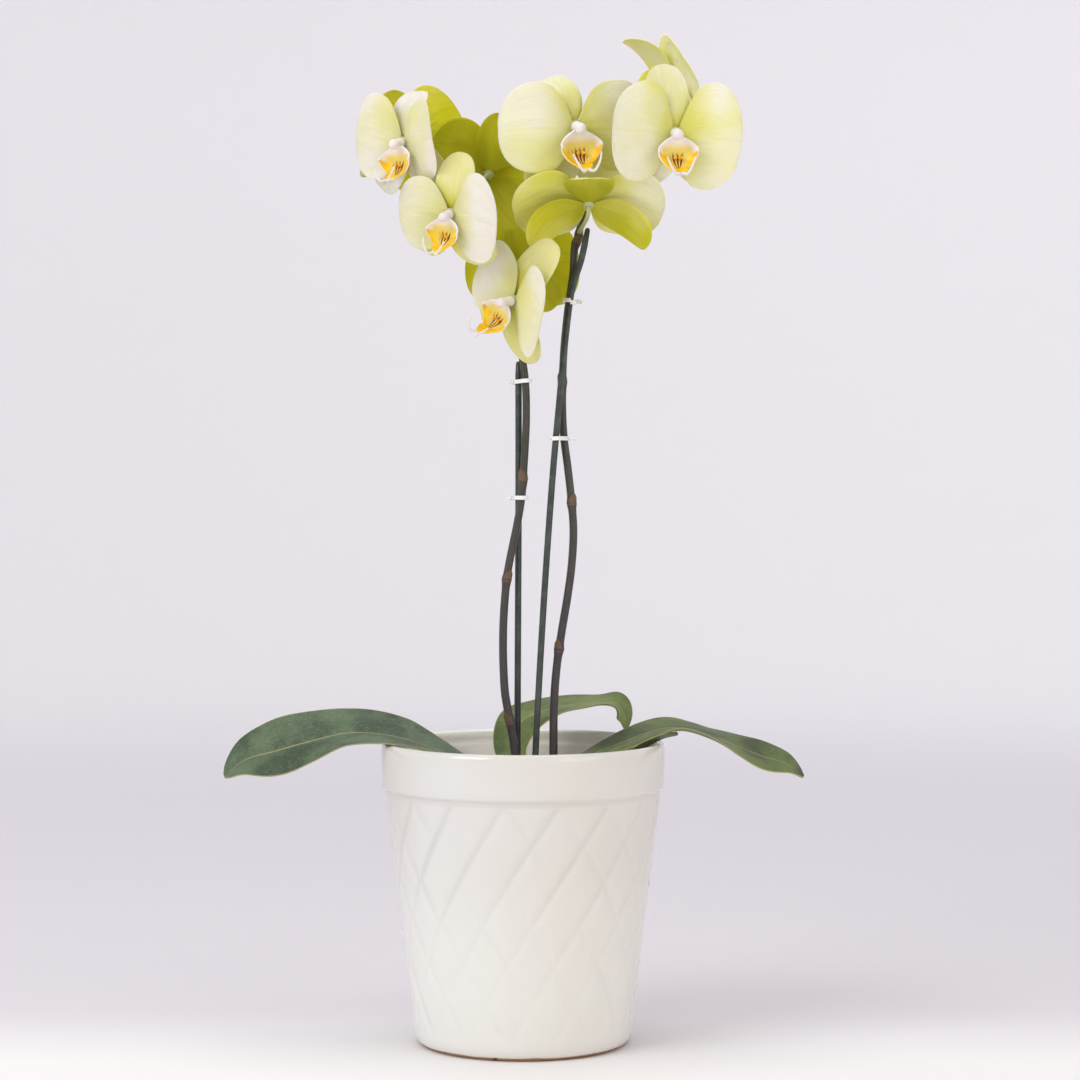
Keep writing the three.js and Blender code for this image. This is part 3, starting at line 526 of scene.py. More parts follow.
# %% Chips of bark
CROWN_X, CROWN_Y = 6, 3
CHIPS, CHIP_FLOOR = 299, 147.2
BED_RADIUS = 75
draw = random.Random(11)
start_clean()
bpy.ops.mesh.primitive_ico_sphere_add(subdivisions=2, radius=1)
chip = bpy.context.object
chip_points = read_points(chip.data)
chips = []
while len(chips) < CHIPS:
    far = (BED_RADIUS - 2) * math.sqrt(draw.random())
    turn = draw.uniform(0, 2 * math.pi)
    x, y = far * math.cos(turn), far * math.sin(turn)
    if math.hypot((x - CROWN_X) / 17, (y - CROWN_Y) / 14) < 1:
        continue
    size = Vector((draw.uniform(3.2, 6.5), draw.uniform(2.4, 4.6), draw.uniform(1.2, 2.4)))
    if far + size.x > BED_RADIUS:
        continue
    bumps = np.array([draw.uniform(0.72, 1.12) for _ in range(len(chip_points))])
    boxy = np.clip(chip_points * bumps[:, None] * 1.25, -0.85, 0.85)
    turned = Matrix.Rotation(turn * 7, 4, "Z") @ Matrix.Rotation(draw.uniform(-0.5, 0.5), 4, "X")
    height = CHIP_FLOOR + draw.uniform(0, 2.2)
    placed = Matrix.Translation((x, y, height)) @ turned @ Matrix.Diagonal((*size, 1))
    copy = bpy.data.objects.new("bark_chip", chip.data.copy())
    bpy.context.collection.objects.link(copy)
    write_points(copy.data, moved(boxy, placed) * MM)
    copy.data.materials.append(bark.material)
    chips.append(copy)
bpy.data.objects.remove(chip)
planting_bark = join("planting_bark", [bed, *chips])
hand_over(planting_bark, "bark")

# %% Crown and roots
CROWN_RADIUS, CROWN_FOOT, CROWN_HEIGHT = 15, 136, 33
ROOT_RADIUS, ROOT_POINTS = 2.6, 26
sheath_skin = Finish("crown_sheath", roughness=0.55)
sheath = sheath_skin.noise(400, stretch=(1, 1, 0.15))
green = sheath_skin.blend(sheath, (72, 84, 46), (126, 132, 84))
low = sheath_skin.span(sheath_skin.split(sheath_skin.place)["Z"], 0.148, 0.158, 1, 0)
sheath_skin.colour(sheath_skin.blend(low, green, (122, 98, 66)))
sheath_skin.relief(sheath, 0.4, 0.0008)
root_skin = mottled("root_skin", 180, (176, 180, 158), (118, 128, 96), 0.75, detail=4,
                    relief=(500, 0.5, 0.0005))

crown, angle, share, width = new_ball(48, 32)
folds = 1 + 0.07 * np.cos(2 * angle + 9 * share) + 0.04 * np.cos(5 * angle)
radius = CROWN_RADIUS * width * folds * (1 - 0.35 * share)
x, y = CROWN_X + radius * np.cos(angle), CROWN_Y + 0.8 * radius * np.sin(angle)
write_points(crown.data, np.column_stack([x, y, CROWN_FOOT + CROWN_HEIGHT * share]) * MM)
settle(crown, sheath_skin.material)
crown_pieces = [crown]
for reach_x, reach_y in ((-48, 24), (34, -34), (-20, -42)):
    way = [(CROWN_X + reach_x * part, CROWN_Y + reach_y * part, height)
           for part, height in ((0, 147), (0.45, 153), (0.8, 152), (1, 135))]
    radii = ROOT_RADIUS * (1 - 0.12 * np.sin(np.arange(ROOT_POINTS) * 1.3) ** 2)
    crown_pieces.append(make_rod("root", even_points(way, ROOT_POINTS), radii, root_skin))
hand_over(join("crown_and_roots", crown_pieces), "crown")

# %% [markdown]
# ## Leaves
# An orchid leaf is thick and leathery, folded a little along its middle, with a fine pale edge and a duller
# underside. It could be cut from a plane and bent, but its curve in space matters most here. So a
# grid is laid along a measured middle line, with a measured direction across, and Solidify gives it
# a body that thins towards the edges. Each leaf also has half its greatest width, the part of it that
# its foot keeps, the steepness of its fold, its taper, where less gives blunter ends, and the sign that
# turns its fold upwards.

# %% Leaf shapes
LEAVES = {
    "leaf_left": {
        "midrib": [[-6, 3, 156], [-33, 1, 168], [-58, 0, 178.4], [-83, 0, 185.2], [-106, 0, 186.2],
                   [-128, 0, 181.4], [-149, 0, 175.6], [-167, 0, 170.4], [-180.5, 0, 160.5]],
        "across": [[0, -1, lean] for lean in (0.1, -0.02, -0.12, -0.22, -0.33, -0.6, -0.86, -0.73, -0.5)],
        "half_width": 30, "foot": 0.26, "fold": 0.16, "taper": 0.44, "up": 1},
    "leaf_right": {
        "midrib": [[16, 5, 158], [36, 6, 170], [60, 6, 180.2], [84, 4, 188.6], [98, 2, 189.2],
                   [112, 0, 185.4], [130, 0, 178], [147, 0, 171.5], [160, 0, 167.5], [169.5, 0, 160.5]],
        "across": [[0, -1, lean] for lean in (0, -0.12, -0.2, -0.1, -0.01, -0.05, -0.24, -0.42, -0.4, -0.3)],
        "half_width": 25, "foot": 0.46, "fold": 0.09, "taper": 0.54, "up": -1},
    "leaf_right_lower": {
        "midrib": [[18, 0, 153], [40, -5, 160.5], [58, -7, 170.5], [73, -8, 180], [84, -7, 185.4],
                   [93, -5, 187.4]],
        "across": [[0, -1, 0.1], *([0.1, -1, lean] for lean in (0.06, 0.12, 0.16, 0.16, 0.1))],
        "half_width": 16, "foot": 0.4, "fold": 0.16, "taper": 0.62, "up": -1},
    "leaf_back": {
        "midrib": [[0, 11, 156], [-7, 21, 175], [-1, 33, 190.5], [14, 44, 196.5], [33, 52, 199.5],
                   [48, 56, 200.6], [58, 58, 199.2], [62.6, 60, 192.4], [64, 61, 182.5]],
        "across": [[1, -0.3, 0], [1, -0.5, 0], [0.9, -0.7, -0.1], [0.6, -1, -0.1], [0.4, -1, -0.12],
                   [0.15, -1, -0.1], [-0.3, -1, -0.22], [-0.5, -0.85, -0.28], [-0.5, -0.85, -0.2]],
        "half_width": 21, "foot": 0.44, "fold": 0.12, "taper": 0.78, "up": -1},
}


def leaf_place(leaf, along, sideways):
    """A place on a leaf: along runs from 0 at the crown to 1 at the tip, sideways from -1 to 1."""
    centre = on_curve(leaf["midrib"], along)
    ahead = on_curve(leaf["midrib"], min(along + 0.004, 1)) - on_curve(leaf["midrib"], max(along - 0.004, 0))
    ahead /= np.linalg.norm(ahead)
    side = on_curve(leaf["across"], along)
    side = side - side.dot(ahead) * ahead
    side /= np.linalg.norm(side)
    up = np.cross(ahead, side) * leaf["up"]
    belly = math.sin(math.pi * min(0.16 + 0.84 * along, 0.9992)) ** leaf["taper"]
    grown = leaf["foot"] + (1 - leaf["foot"]) * min(1, 3.2 * along)
    width = leaf["half_width"] * grown * belly
    rise = leaf["fold"] * width * abs(sideways) ** 1.4 - 0.5 * math.exp(-(sideways / 0.05) ** 2)
    wave = 0.5 * math.sin(11 * along + 2 * sideways) * sideways ** 2
    return centre + side * sideways * width + up * (rise + wave)


print("leaf tip:", leaf_place(LEAVES["leaf_left"], 1, 0).round(1))


# %% Leaf finish
def leaf_finish(name, light, dark, tip=None, frost=0.25):
    leaf = Finish(name, roughness=0.5, specular=0.35)
    surface, along, _, off_middle = leaf.on_blade()
    mottle = leaf.noise(34, detail=5, roughness=0.65)
    lines = leaf.noise(5, detail=4, roughness=0.7, stretch=(1.2, 26, 1), place=surface)
    green = leaf.blend(leaf.span(mottle, 0.36, 0.64), dark, light)
    green = leaf.blend(leaf.span(lines, 0.48, 0.7, 0, 0.3), green, (124, 140, 92))
    fleck = leaf.noise(56, detail=4, roughness=0.7, stretch=(1, 2, 1), place=surface)
    green = leaf.blend(leaf.span(fleck, 0.52, 0.74, 0, frost), green, (166, 178, 150))
    # A pale line along the middle: the midrib, with a painted highlight where its fold catches the light.
    green = leaf.blend(leaf.span(off_middle, 0.0, 0.02, 0.75, 0), green, (168, 160, 112))
    if tip:
        green = leaf.blend(leaf.span(along, 0.9, 0.99, 0, 0.85), green, tip)
    green = leaf.blend(leaf.span(off_middle, 0.478, 0.492, 0, 0.8), green, (164, 160, 92))
    leaf.colour(green)
    leaf.relief(lines, 0.4, 0.0008)
    leaf.shade({"Coat Weight": 0.06, "Coat Roughness": 0.35})
    return leaf.material


leaf_under = leaf_finish("leaf_underside", (96, 114, 54), (62, 78, 36))
leaf_tops = {
    "leaf_left": leaf_finish("leaf_grey_green", (90, 110, 80), (51, 69, 49), frost=0.7),
    "leaf_right": leaf_finish("leaf_deep_green", (98, 114, 56), (50, 64, 32), (48, 40, 30)),
    # Painted shade: the lower right leaf takes darker greens, as it lies in the shade of the leaf above it.
    "leaf_right_lower": leaf_finish("leaf_green_painted_shade", (78, 94, 46), (38, 50, 26)),
    "leaf_back": leaf_finish("leaf_fresh_green", (114, 130, 62), (70, 88, 38)),
}
print("leaf finishes:", len(leaf_tops) + 1)


# %% Grow the leaves
LEAF_THICKNESS = 2.2


def close_blade(blade, thickness, face, back, rim=0, body=""):
    """Gives a sheet a body with a finish on each side, and smooths it. The rim takes the face's finish
    where rim is 0 and the back's where it is 1. body names a group of points that keeps its thickness."""
    solid = blade.modifiers.new("body", "SOLIDIFY")
    solid.thickness = thickness * MM
    solid.offset = 0
    solid.vertex_group = body
    solid.thickness_vertex_group = 0.3
    solid.material_offset = 1
    solid.material_offset_rim = rim
    smooth = blade.modifiers.new("smooth", "SUBSURF")
    smooth.levels = smooth.render_levels = 1
    settle(blade, face, back)
    apply_modifiers(blade)
    return blade


for name, leaf in LEAVES.items():
    blade, along, across = new_grid("green_" + name, 64, 20)
    sideways = across * 2 - 1
    write_points(blade.data, np.array([leaf_place(leaf, *place) for place in zip(along, sideways)]) * MM)
    face_up(blade)
    body = blade.vertex_groups.new(name="body")
    for number, weight in enumerate(1 - 0.9 * np.abs(sideways) ** 2.5):
        body.add([number], weight, "REPLACE")
    close_blade(blade, LEAF_THICKNESS, leaf_tops[name], leaf_under, body="body")
    hand_over(blade, name)

# %% [markdown]
# ## Stems, stakes and ties
# Two flower stems rise beside coated wire stakes and are held by white twist ties. A stem is darkest
# and purplest near the pot and greener above. It thickens a little at each joint, where a dry scale
# sits. A plain cylinder would be too even, so each stem is a rod with its own radius at each point.

# %% Stem shapes
LEFT_STEM = [[-3.6, -9.5, 146], [-4.8, -9.5, 176], [-8.4, -9.5, 197.5], [-10.8, -9.5, 212],
             [-11.7, -9.5, 226.4], [-12, -9.5, 240.8], [-11.7, -9.5, 255.2], [-10.8, -9.5, 269.7],
             [-9.3, -9, 284], [-6.6, -8.5, 298.4], [-3.6, -8, 312.8], [-0.9, -7.5, 329],
             [0.6, -7, 348.8], [2, -6.5, 377.6], [1.4, -6.5, 399.2], [-1, -4, 417]]
LEFT_RACHIS = [[-1, -4, 417], [-6.7, 2, 442], [-15.7, 6, 463.3], [-28.4, 8, 484.5], [-41.7, 8, 504.9],
               [-49.5, 9, 527.8], [-58.5, 11, 538.6], [-70.6, 14, 543.4], [-83.2, 20, 539.6], [-96, 28, 528]]
RIGHT_STEM = [[18.3, -6, 146], [18.3, -6, 175.5], [18.6, -6, 204.5], [20.1, -6, 226.1], [23.1, -6, 247.8],
              [26.7, -6, 269.5], [29.1, -6, 287.5], [30.3, -6, 309.2], [29.1, -5.5, 327.2],
              [26.7, -4.5, 348.8], [24.6, -3.5, 365], [23.7, -3, 381.8], [24.3, -3, 413.6],
              [27, -3, 442.4], [30, -3, 463.9], [30.9, -1, 478.4], [33.1, 2, 485.8]]
RIGHT_RACHIS = [[33.1, 2, 485.8], [37.4, 12, 505.9], [41.7, 16, 526.1], [52.6, 16, 541], [70.7, 14, 552],
                [84, 9, 557]]
LEFT_STAKE = [[-3.4, -2, 100], [-3.4, -2, 175], [-2.7, -1.6, 328], [-2.7, -1, 411]]
RIGHT_STAKE = [[4.5, -10, 100], [7.5, -10, 176], [10.5, -10, 233.6], [14.1, -10, 291.3], [18.3, -10, 348.8],
               [21.3, -9.6, 381.7], [24.3, -9, 413.4], [27.5, -9, 442.1], [29.9, -9, 456.4],
               [34.7, -8, 470.8], [38.9, -6, 490.6]]
JOINTS = {"left": (196, 280, 340), "right": (238, 325.5, 398, 482)}
print("stem lengths:", [len(points) for points in (LEFT_STEM, RIGHT_STEM)])


# %% Stem finishes
stem = Finish("stem_skin", roughness=0.42)
height = stem.split(stem.place)["Z"]
streak = stem.noise(900, stretch=(1, 1, 0.12))
patch = stem.noise(55)
low = stem.blend(streak, (47, 42, 44), (71, 63, 63))
high = stem.blend(stem.span(patch, 0.35, 0.65), (52, 50, 40), (67, 65, 47))
skin = stem.blend(stem.span(height, 0.24, 0.4), low, high)
stem.colour(stem.blend(stem.span(streak, 0.55, 0.8, 0, 0.3), skin, (112, 88, 70)))
stem.relief(streak, 0.3, 0.0004)

stalk = Finish("stalk_skin", roughness=0.45)
streak = stalk.noise(500, stretch=(1, 1, 0.3))
stalk.colour(stalk.blend(streak, (150, 158, 88), (206, 208, 160)))
stalk.relief(streak, 0.25, 0.0003)

scale_skin = mottled("dry_scale", 300, (84, 62, 46), (116, 94, 66), 0.6)
coat = mottled("coated_wire", 160, (46, 54, 50), (66, 76, 68), 0.34, detail=4, band=(0.35, 0.7),
               relief=(420, 0.12, 0.0003))
tie_coat = mottled("tie_coat", 260, (236, 235, 232), (251, 251, 249), 0.4)
print("stem, stalk, scale, stake and tie finishes made")

# %% [markdown]
# ## Where the blooms sit
# Each bloom has its hub's place, its yaw, pitch and roll in degrees, its size, its stem, and its place on
# that stem's flowering end, from 0 to 1. Its petals and sepals stand at angles round the hub, clockwise
# from its top. Each has a reach, half a width, and a curl: the angle by which it bends forward, or back
# where it is below zero. Backs are the tones behind its petals, its upper sepal and its lower sepals:
# painted shade, deep or mid, where a back stands in shade, and painted light, lit, where light falls on it.
# What a row doesn't say is as in an open bloom.

# %% Blooms along the stems
OPEN = {"petals": (-84, 84), "wide": (30, 30), "reach": (41, 41), "curl": (0, 0),
        "upper": 0, "upper_curl": -8, "upper_wide": 14, "upper_reach": 39,
        "lower": 138, "lower_curl": -8, "lower_reach": 39, "backs": ("deep", "deep", "deep")}
BLOOM_ROWS = [
    ((31, -36, 547.5), (14, -8, -6), 1.08, "right", 0.5, {
        "petals": (-88, 90), "wide": (25, 25), "upper": -18, "upper_curl": -66, "upper_wide": 11,
        "lower": 148, "lower_curl": -24, "lower_reach": 42}),
    ((89.5, -41, 543), (6, -6, -2), 1.02, "right", 0.8, {
        "petals": (-84, 98), "wide": (29, 31), "reach": (38, 36), "curl": (52, 30),
        "upper": -10, "upper_curl": 0, "upper_wide": 13, "lower_reach": 33}),
    ((88.5, 36, 579.5), (124, 12, 0), 1, "right", 1, {
        "petals": (-54, 118), "wide": (24, 22), "reach": (33, 36), "curl": (-10, 0),
        "upper": 8, "upper_curl": -52, "upper_wide": 11, "upper_reach": 41, "backs": ("lit", "lit", "lit")}),
    ((39, -22, 505), (181, 57, 0), 1.06, "right", 0.02, {
        "petals": (-99, 99), "lower": 110, "upper_curl": -20, "lower_curl": -46, "lower_reach": 42,
        "sepals": "yellow", "backs": ("lit", "deep", "mid")}),
    ((-71, -9, 541), (-33, -8, 2), 0.94, "left", 0.84, {
        "petals": (-80, 84), "wide": (28, 26), "reach": (42, 41), "curl": (-8, 72),
        "upper_curl": -50, "upper_wide": 12}),
    ((-42, -32, 497), (-28, -14, 12), 0.9, "left", 0.42, {
        "petals": (-98, 88), "wide": (25, 30), "reach": (43, 41), "curl": (-8, 50), "sepals": "yellow"}),
    ((-5, -26, 446), (-43, -6, 40), 0.96, "left", 0.16, {
        "petals": (-86, 68), "wide": (23, 28), "reach": (42, 42), "curl": (-10, 60), "upper_reach": 44,
        "sepals": "yellow"}),
    ((-68, 42, 549), (168, 6, 26), 0.8, "left", 0.74, {"backs": ("mid", "deep", "mid")}),
    ((-21.3, 24, 525), (188, -5, -14), 0.94, "left", 0.52, {}),
    ((0, 37, 470), (166, 0, 0), 0.85, "left", 0.24, {}),
]
BLOOMS = [{**OPEN, "hub": hub, "turns": turns, "size": size, "stem": side, "at": at, **own}
          for hub, turns, size, side, at, own in BLOOM_ROWS]


def bloom_frame(bloom):
    """The turn, size and place of a bloom: its right, its top and its front as its columns."""
    yaw, pitch, roll = (math.radians(degrees) for degrees in bloom["turns"])
    front = Vector((math.sin(yaw) * math.cos(pitch), -math.cos(yaw) * math.cos(pitch), math.sin(pitch)))
    top = (Vector((0, 0, 1)) - front * front.z).normalized()
    top.rotate(Matrix.Rotation(-roll, 3, front))
    right = top.cross(front)
    turned = Matrix((right, top, front)).transposed().to_4x4()
    return Matrix.Translation(bloom["hub"]) @ turned @ Matrix.Scale(bloom["size"], 4)


print("first bloom faces", tuple(round(part, 2) for part in bloom_frame(BLOOMS[0]).col[2][:3]))


# %% Grow the stems
STEM_POINTS, FLOWERING_POINTS = 90, 60


def make_scale(place, ahead, outward, length=7.5):
    """A dry scale: a small pointed sheath that hugs a joint of the stem."""
    scale, u, v = new_grid("scale", 6, 6)
    ahead = Vector(ahead).normalized()
    outward = (Vector(outward) - ahead * Vector(outward).dot(ahead)).normalized()
    turned = np.array(Matrix((ahead.cross(outward), outward, ahead)))
    around = (2 * v - 1) * 1.5 * (1 - u ** 1.6)
    hug = 2.75 + 0.8 * u ** 2
    local = np.column_stack([hug * np.sin(around), hug * np.cos(around), length * u - 1.5])
    write_points(scale.data, (local @ turned + np.asarray(place)) * MM)
    body = scale.modifiers.new("body", "SOLIDIFY")
    body.thickness = 0.5 * MM
    body.offset = 0
    apply_modifiers(scale)
    return settle(scale, scale_skin)


def curve_at_height(path, height):
    """The point of a path that is nearest to a height, and the path's direction there."""
    near = int(np.argmin(np.abs(path[:, 2] - height)))
    near = min(max(near, 1), len(path) - 2)
    return path[near], path[near + 1] - path[near - 1]


def stalk_path(bloom, rachis):
    """The stalk of a bloom, from the stem's flowering end to just behind its hub."""
    frame_of = bloom_frame(bloom)
    start = Vector(even_points(rachis, 101)[round(bloom["at"] * 100)])
    end = frame_of @ Vector((0, 0, -4.2))
    behind = frame_of @ Vector((0, 0, -13))
    leaving = start.lerp(behind, 0.45) + Vector((0, 0, 3))
    path = []
    for share in np.linspace(0, 1, 22):
        left = 1 - share
        path.append(start * left ** 3 + leaving * 3 * left ** 2 * share + behind * 3 * left * share ** 2
                    + end * share ** 3)
    return np.array(path)


def make_stem(side, points, rachis):
    """A stem with a swelling at each joint, its flowering end, its scales, and its blooms' stalks."""
    path = even_points(points, STEM_POINTS)
    radii = np.linspace(2.55, 2.2, STEM_POINTS)
    for joint in JOINTS[side]:
        radii = radii + 0.75 * np.exp(-((path[:, 2] - joint) / 2.6) ** 2)
    pieces = [make_rod("stem", path, radii, stem.material)]
    along = np.linspace(0, 1, FLOWERING_POINTS)
    radii = np.linspace(2.15, 1.35, FLOWERING_POINTS)
    blooms = [bloom for bloom in BLOOMS if bloom["stem"] == side]
    for bloom in blooms:
        radii = radii + 0.55 * np.exp(-((along - bloom["at"]) * 30) ** 2)
    pieces.append(make_rod("flowering_end", even_points(rachis, FLOWERING_POINTS), radii, stem.material))
    for number, joint in enumerate(JOINTS[side]):
        place, ahead = curve_at_height(path, joint)
        pieces.append(make_scale(place, ahead, (0.4 if number % 2 else -0.4, -0.7, 0)))
    for bloom in blooms:
        way = stalk_path(bloom, rachis)
        share = np.linspace(0, 1, len(way))
        radii = 1.15 + 0.5 * share ** 4 + 0.5 * (1 - share) ** 6
        pieces.append(make_rod("stalk", way, radii, stalk.material))
        ahead = way[4] - way[0]
        pieces.append(make_scale(way[0] + ahead * 0.1, ahead, (0, 0, -1), 5))
    return pieces


def make_bud(place, turn):
    bud, angle, share, width = new_ball(32, 20)
    radius = 3 * width * (1.08 - 0.3 * share) * (1 + 0.05 * np.cos(3 * angle))
    local = np.column_stack([radius * np.cos(angle), radius * np.sin(angle), 9.2 * share - 4.6])
    write_points(bud.data, moved(local, Matrix.Translation(place) @ Matrix.Rotation(turn, 4, "Y")) * MM)
    return settle(bud, stalk.material)


left_pieces = make_stem("left", LEFT_STEM, LEFT_RACHIS) + [make_bud(LEFT_RACHIS[-1], 0.7)]
right_pieces = make_stem("right", RIGHT_STEM, RIGHT_RACHIS)
hand_over(join("flower_stem_left", left_pieces), "spike_left")
hand_over(join("flower_stem_right", right_pieces), "spike_right")

# %% Stakes
STAKE_RADIUS, STAKE_POINTS = 2.0, 80
for side, points in (("left", LEFT_STAKE), ("right", RIGHT_STAKE)):
    path = even_points(points, STAKE_POINTS)
    radii = np.full(STAKE_POINTS, STAKE_RADIUS)
    radii[-1], radii[-2] = 0.7, 1.6
    path[-2] = path[-1] - (path[-1] - path[-2]) * 0.2
    stake = make_rod("support_stake_" + side, path, radii, coat, sides=5)
    hand_over(stake, "stake_" + side)

# %% Twist ties
TIES = {
    "tie_left_lower": ("left", 329, -1, 2.5), "tie_left_upper": ("left", 399.2, -1, 4),
    "tie_right_lower": ("right", 365, 1, 5), "tie_right_upper": ("right", 446.4, 1, 4),
}
HELD = {"left": (LEFT_STEM, LEFT_STAKE), "right": (RIGHT_STEM, RIGHT_STAKE)}
TIE_BEND, WIRE_RADIUS = 3.55, 0.72
LOOP_STEPS = 96


def make_tie(name, side, height, ear_side, ear):
    """Two turns of wire round stem and stake, and an ear of two strands twisted to one side."""
    (stem_at, stem_ahead), (stake_at, stake_ahead) = (
        curve_at_height(even_points(points, 400), height) for points in HELD[side])
    middle = (stem_at + stake_at) / 2
    up = (Vector(stem_ahead).normalized() + Vector(stake_ahead).normalized()).normalized()
    across = Vector(stake_at - stem_at)
    half = across.length / 2
    along = (across - up * across.dot(up)).normalized()
    sideways = up.cross(along)
    loop = []
    for step in range(LOOP_STEPS + 1):
        share = step / LOOP_STEPS
        turn = share * 4 * math.pi
        out = half * math.tanh(4 * math.cos(turn)) + TIE_BEND * math.cos(turn)
        aside = sideways * TIE_BEND * math.sin(turn)
        loop.append(Vector(middle) + along * out + aside + up * (share * 2.2 - 1.1))
    pieces = [make_rod("loop", np.array(loop), WIRE_RADIUS, tie_coat)]
    reach = half * abs(along.x) + 3.4
    start = Vector((middle[0] + ear_side * reach, middle[1] - 0.6, middle[2]))
    end = start + Vector((ear_side * ear, -1.1, -0.5))
    ahead = (end - start).normalized()
    aside = ahead.cross(Vector((0, 0, 1))).normalized()
    above = aside.cross(ahead)
    for strand in (0, math.pi):
        twist = []
        for share in np.linspace(0, 1, 26):
            turn = strand + share * ear * 1.5
            twist.append(start.lerp(end, share) + (aside * math.cos(turn) + above * math.sin(turn)) * 0.62)
        pieces.append(make_rod("twist", np.array(twist), 0.66, tie_coat))
    return join("twist_" + name, pieces)


for name, values in TIES.items():
    hand_over(make_tie(name, *values), name)

# %% [markdown]
# ## Petals and sepals
# A bloom has two broad petals and three narrower sepals round a small hub. They are thin, soft and a
# little wavy, pale cream on the face and a stronger yellow green behind, painted as shade where light falls
# less and paler as painted light where it is lit. Towards the hub the face turns yellow green, partly its
# own colour and partly painted shade. Each one is a grid bent by a formula that knows its angle, length,
# width and curl, and Solidify with a second finish makes the face and the back differ.

# %% Petal finish
def petal_finish(name, pale, strong, base, veins, depth=0.85):
    petal = Finish(name, roughness=0.6, specular=0.2)
    surface, along, _, off_middle = petal.on_blade()
    cloud = petal.noise(24, detail=2)
    colour = petal.blend(petal.span(cloud, 0.36, 0.66), pale, strong)
    fan = petal.noise(4, roughness=0.6, stretch=(1.2, 20, 1), place=surface)
    colour = petal.blend(petal.span(fan, 0.45, 0.75, 0, 0.25), colour, veins)
    # Towards the hub the face turns to the base tone: partly the petal's own greener base, partly painted
    # shade. depth sets how strong it is.
    reach = petal.calc("MULTIPLY_ADD", cloud, 0.6, petal.times(off_middle, 0.12))
    near = petal.span(petal.calc("SUBTRACT", along, reach), -0.2, 0.3, depth, 0)
    colour = petal.blend(near, colour, base)
    petal.colour(petal.blend(petal.span(off_middle, 0, 0.02, 0.3, 0), colour, veins))
    crease = petal.noise(2.2, detail=1, distortion=0.6, stretch=(0.8, 2.6, 1), place=surface)
    height = petal.calc("MULTIPLY_ADD", crease, 3, petal.calc("MULTIPLY_ADD", cloud, 1.5, fan))
    petal.relief(height, 0.55, 0.0013)
    petal.shade({"Sheen Weight": 0.05, "Subsurface Weight": 0.3, "Subsurface Radius": (1, 0.9, 0.25),
                 "Subsurface Scale": 0.004})
    return petal.material


petal_faces = {
    "right": petal_finish("petal_cream", (246, 242, 214), (239, 236, 172), (212, 208, 50),
                          (226, 226, 116), 0.66),
    "left": petal_finish("petal_white", (242, 236, 222), (235, 230, 190), (222, 218, 96),
                         (222, 221, 146), 0.6),
    "yellow": petal_finish("sepal_yellow", (244, 238, 168), (228, 222, 96), (200, 196, 30),
                           (210, 208, 60)),
}
# The backs are lit and shaded copies: deep is painted deep shade, mid is painted half shade, lit is painted
# light.
backs_painted_light_and_shade = {
    "deep": petal_finish("petal_back_painted_deep_shade", (204, 200, 48), (180, 178, 4), (164, 160, 0),
                         (160, 160, 4)),
    "mid": petal_finish("petal_back", (234, 228, 110), (212, 208, 16), (192, 190, 4),
                        (186, 186, 8)),
    "lit": petal_finish("petal_lit_back", (254, 251, 210), (242, 238, 130), (224, 220, 50),
                        (220, 218, 70)),
}
print("petal finishes made")


# %% Bend a grid into a petal
def smooth_step(value, low, high):
    share = np.clip((value - low) / (high - low), 0, 1)
    return share * share * (3 - 2 * share)


def tepal_places(u, v, angle, length, half_width, height, curl, cup, phase):
    """Places on a petal or sepal in its bloom's frame. u runs out to the tip and v across."""
    heading = math.radians(angle)
    turned = math.radians(1 if abs(curl) < 1 else curl)
    place = 0.14 + (math.pi - 0.2) * u
    part = (1 - np.cos(place)) / 2
    neck = 0.3 + 0.7 * smooth_step(u, -0.15, 0.36)
    width = half_width * np.sin(place) ** 0.8 * neck * (1 + 0.035 * np.sin(6 * u + 1.6 * v + phase))
    arch = 9 * part * (1 - part) - 5 * part ** 2 - cup * v ** 2 * np.sin(place)
    arch = arch + 1.2 * np.sin(4.6 * u + 2.4 * v + phase) * v ** 2 * np.sin(place)
    arch = arch - 0.5 * np.exp(-(v / 0.07) ** 2) * np.sin(place)
    out = 1.4 + length * np.sin(turned * part) / turned - arch * np.sin(turned * part)
    front = height + length * (1 - np.cos(turned * part)) / turned + arch * np.cos(turned * part)
    x = out * math.sin(heading) + v * width * math.cos(heading)
    y = out * math.cos(heading) - v * width * math.sin(heading)
    return np.column_stack([x, y, front])


def make_blade(name, shape, rows, columns, thickness, face, back, rim=0):
    """A thin blade from a grid. shape gives places for u from 0 to 1 and v from -1 to 1."""
    blade, u, v = new_grid(name, rows, columns)
    write_points(blade.data, shape(u, 1 - 2 * v) * MM)
    return close_blade(blade, thickness, face, back, rim)


def to_bloom(piece, bloom):
    """Moves a piece from the middle of the scene to its bloom's place, turn and size."""
    metres = Matrix.Scale(MM, 4) @ bloom_frame(bloom) @ Matrix.Scale(1 / MM, 4)
    write_points(piece.data, moved(read_points(piece.data), metres))
    return piece


# %% Blooms
PETAL_FRONT, PETAL_CUP = 1, 1
SEPAL_FRONT, SEPAL_CUP, LOWER_WIDE = -2.3, 0.6, 14
TEPAL_THICKNESS, TEPAL_ROWS = 0.65, 24


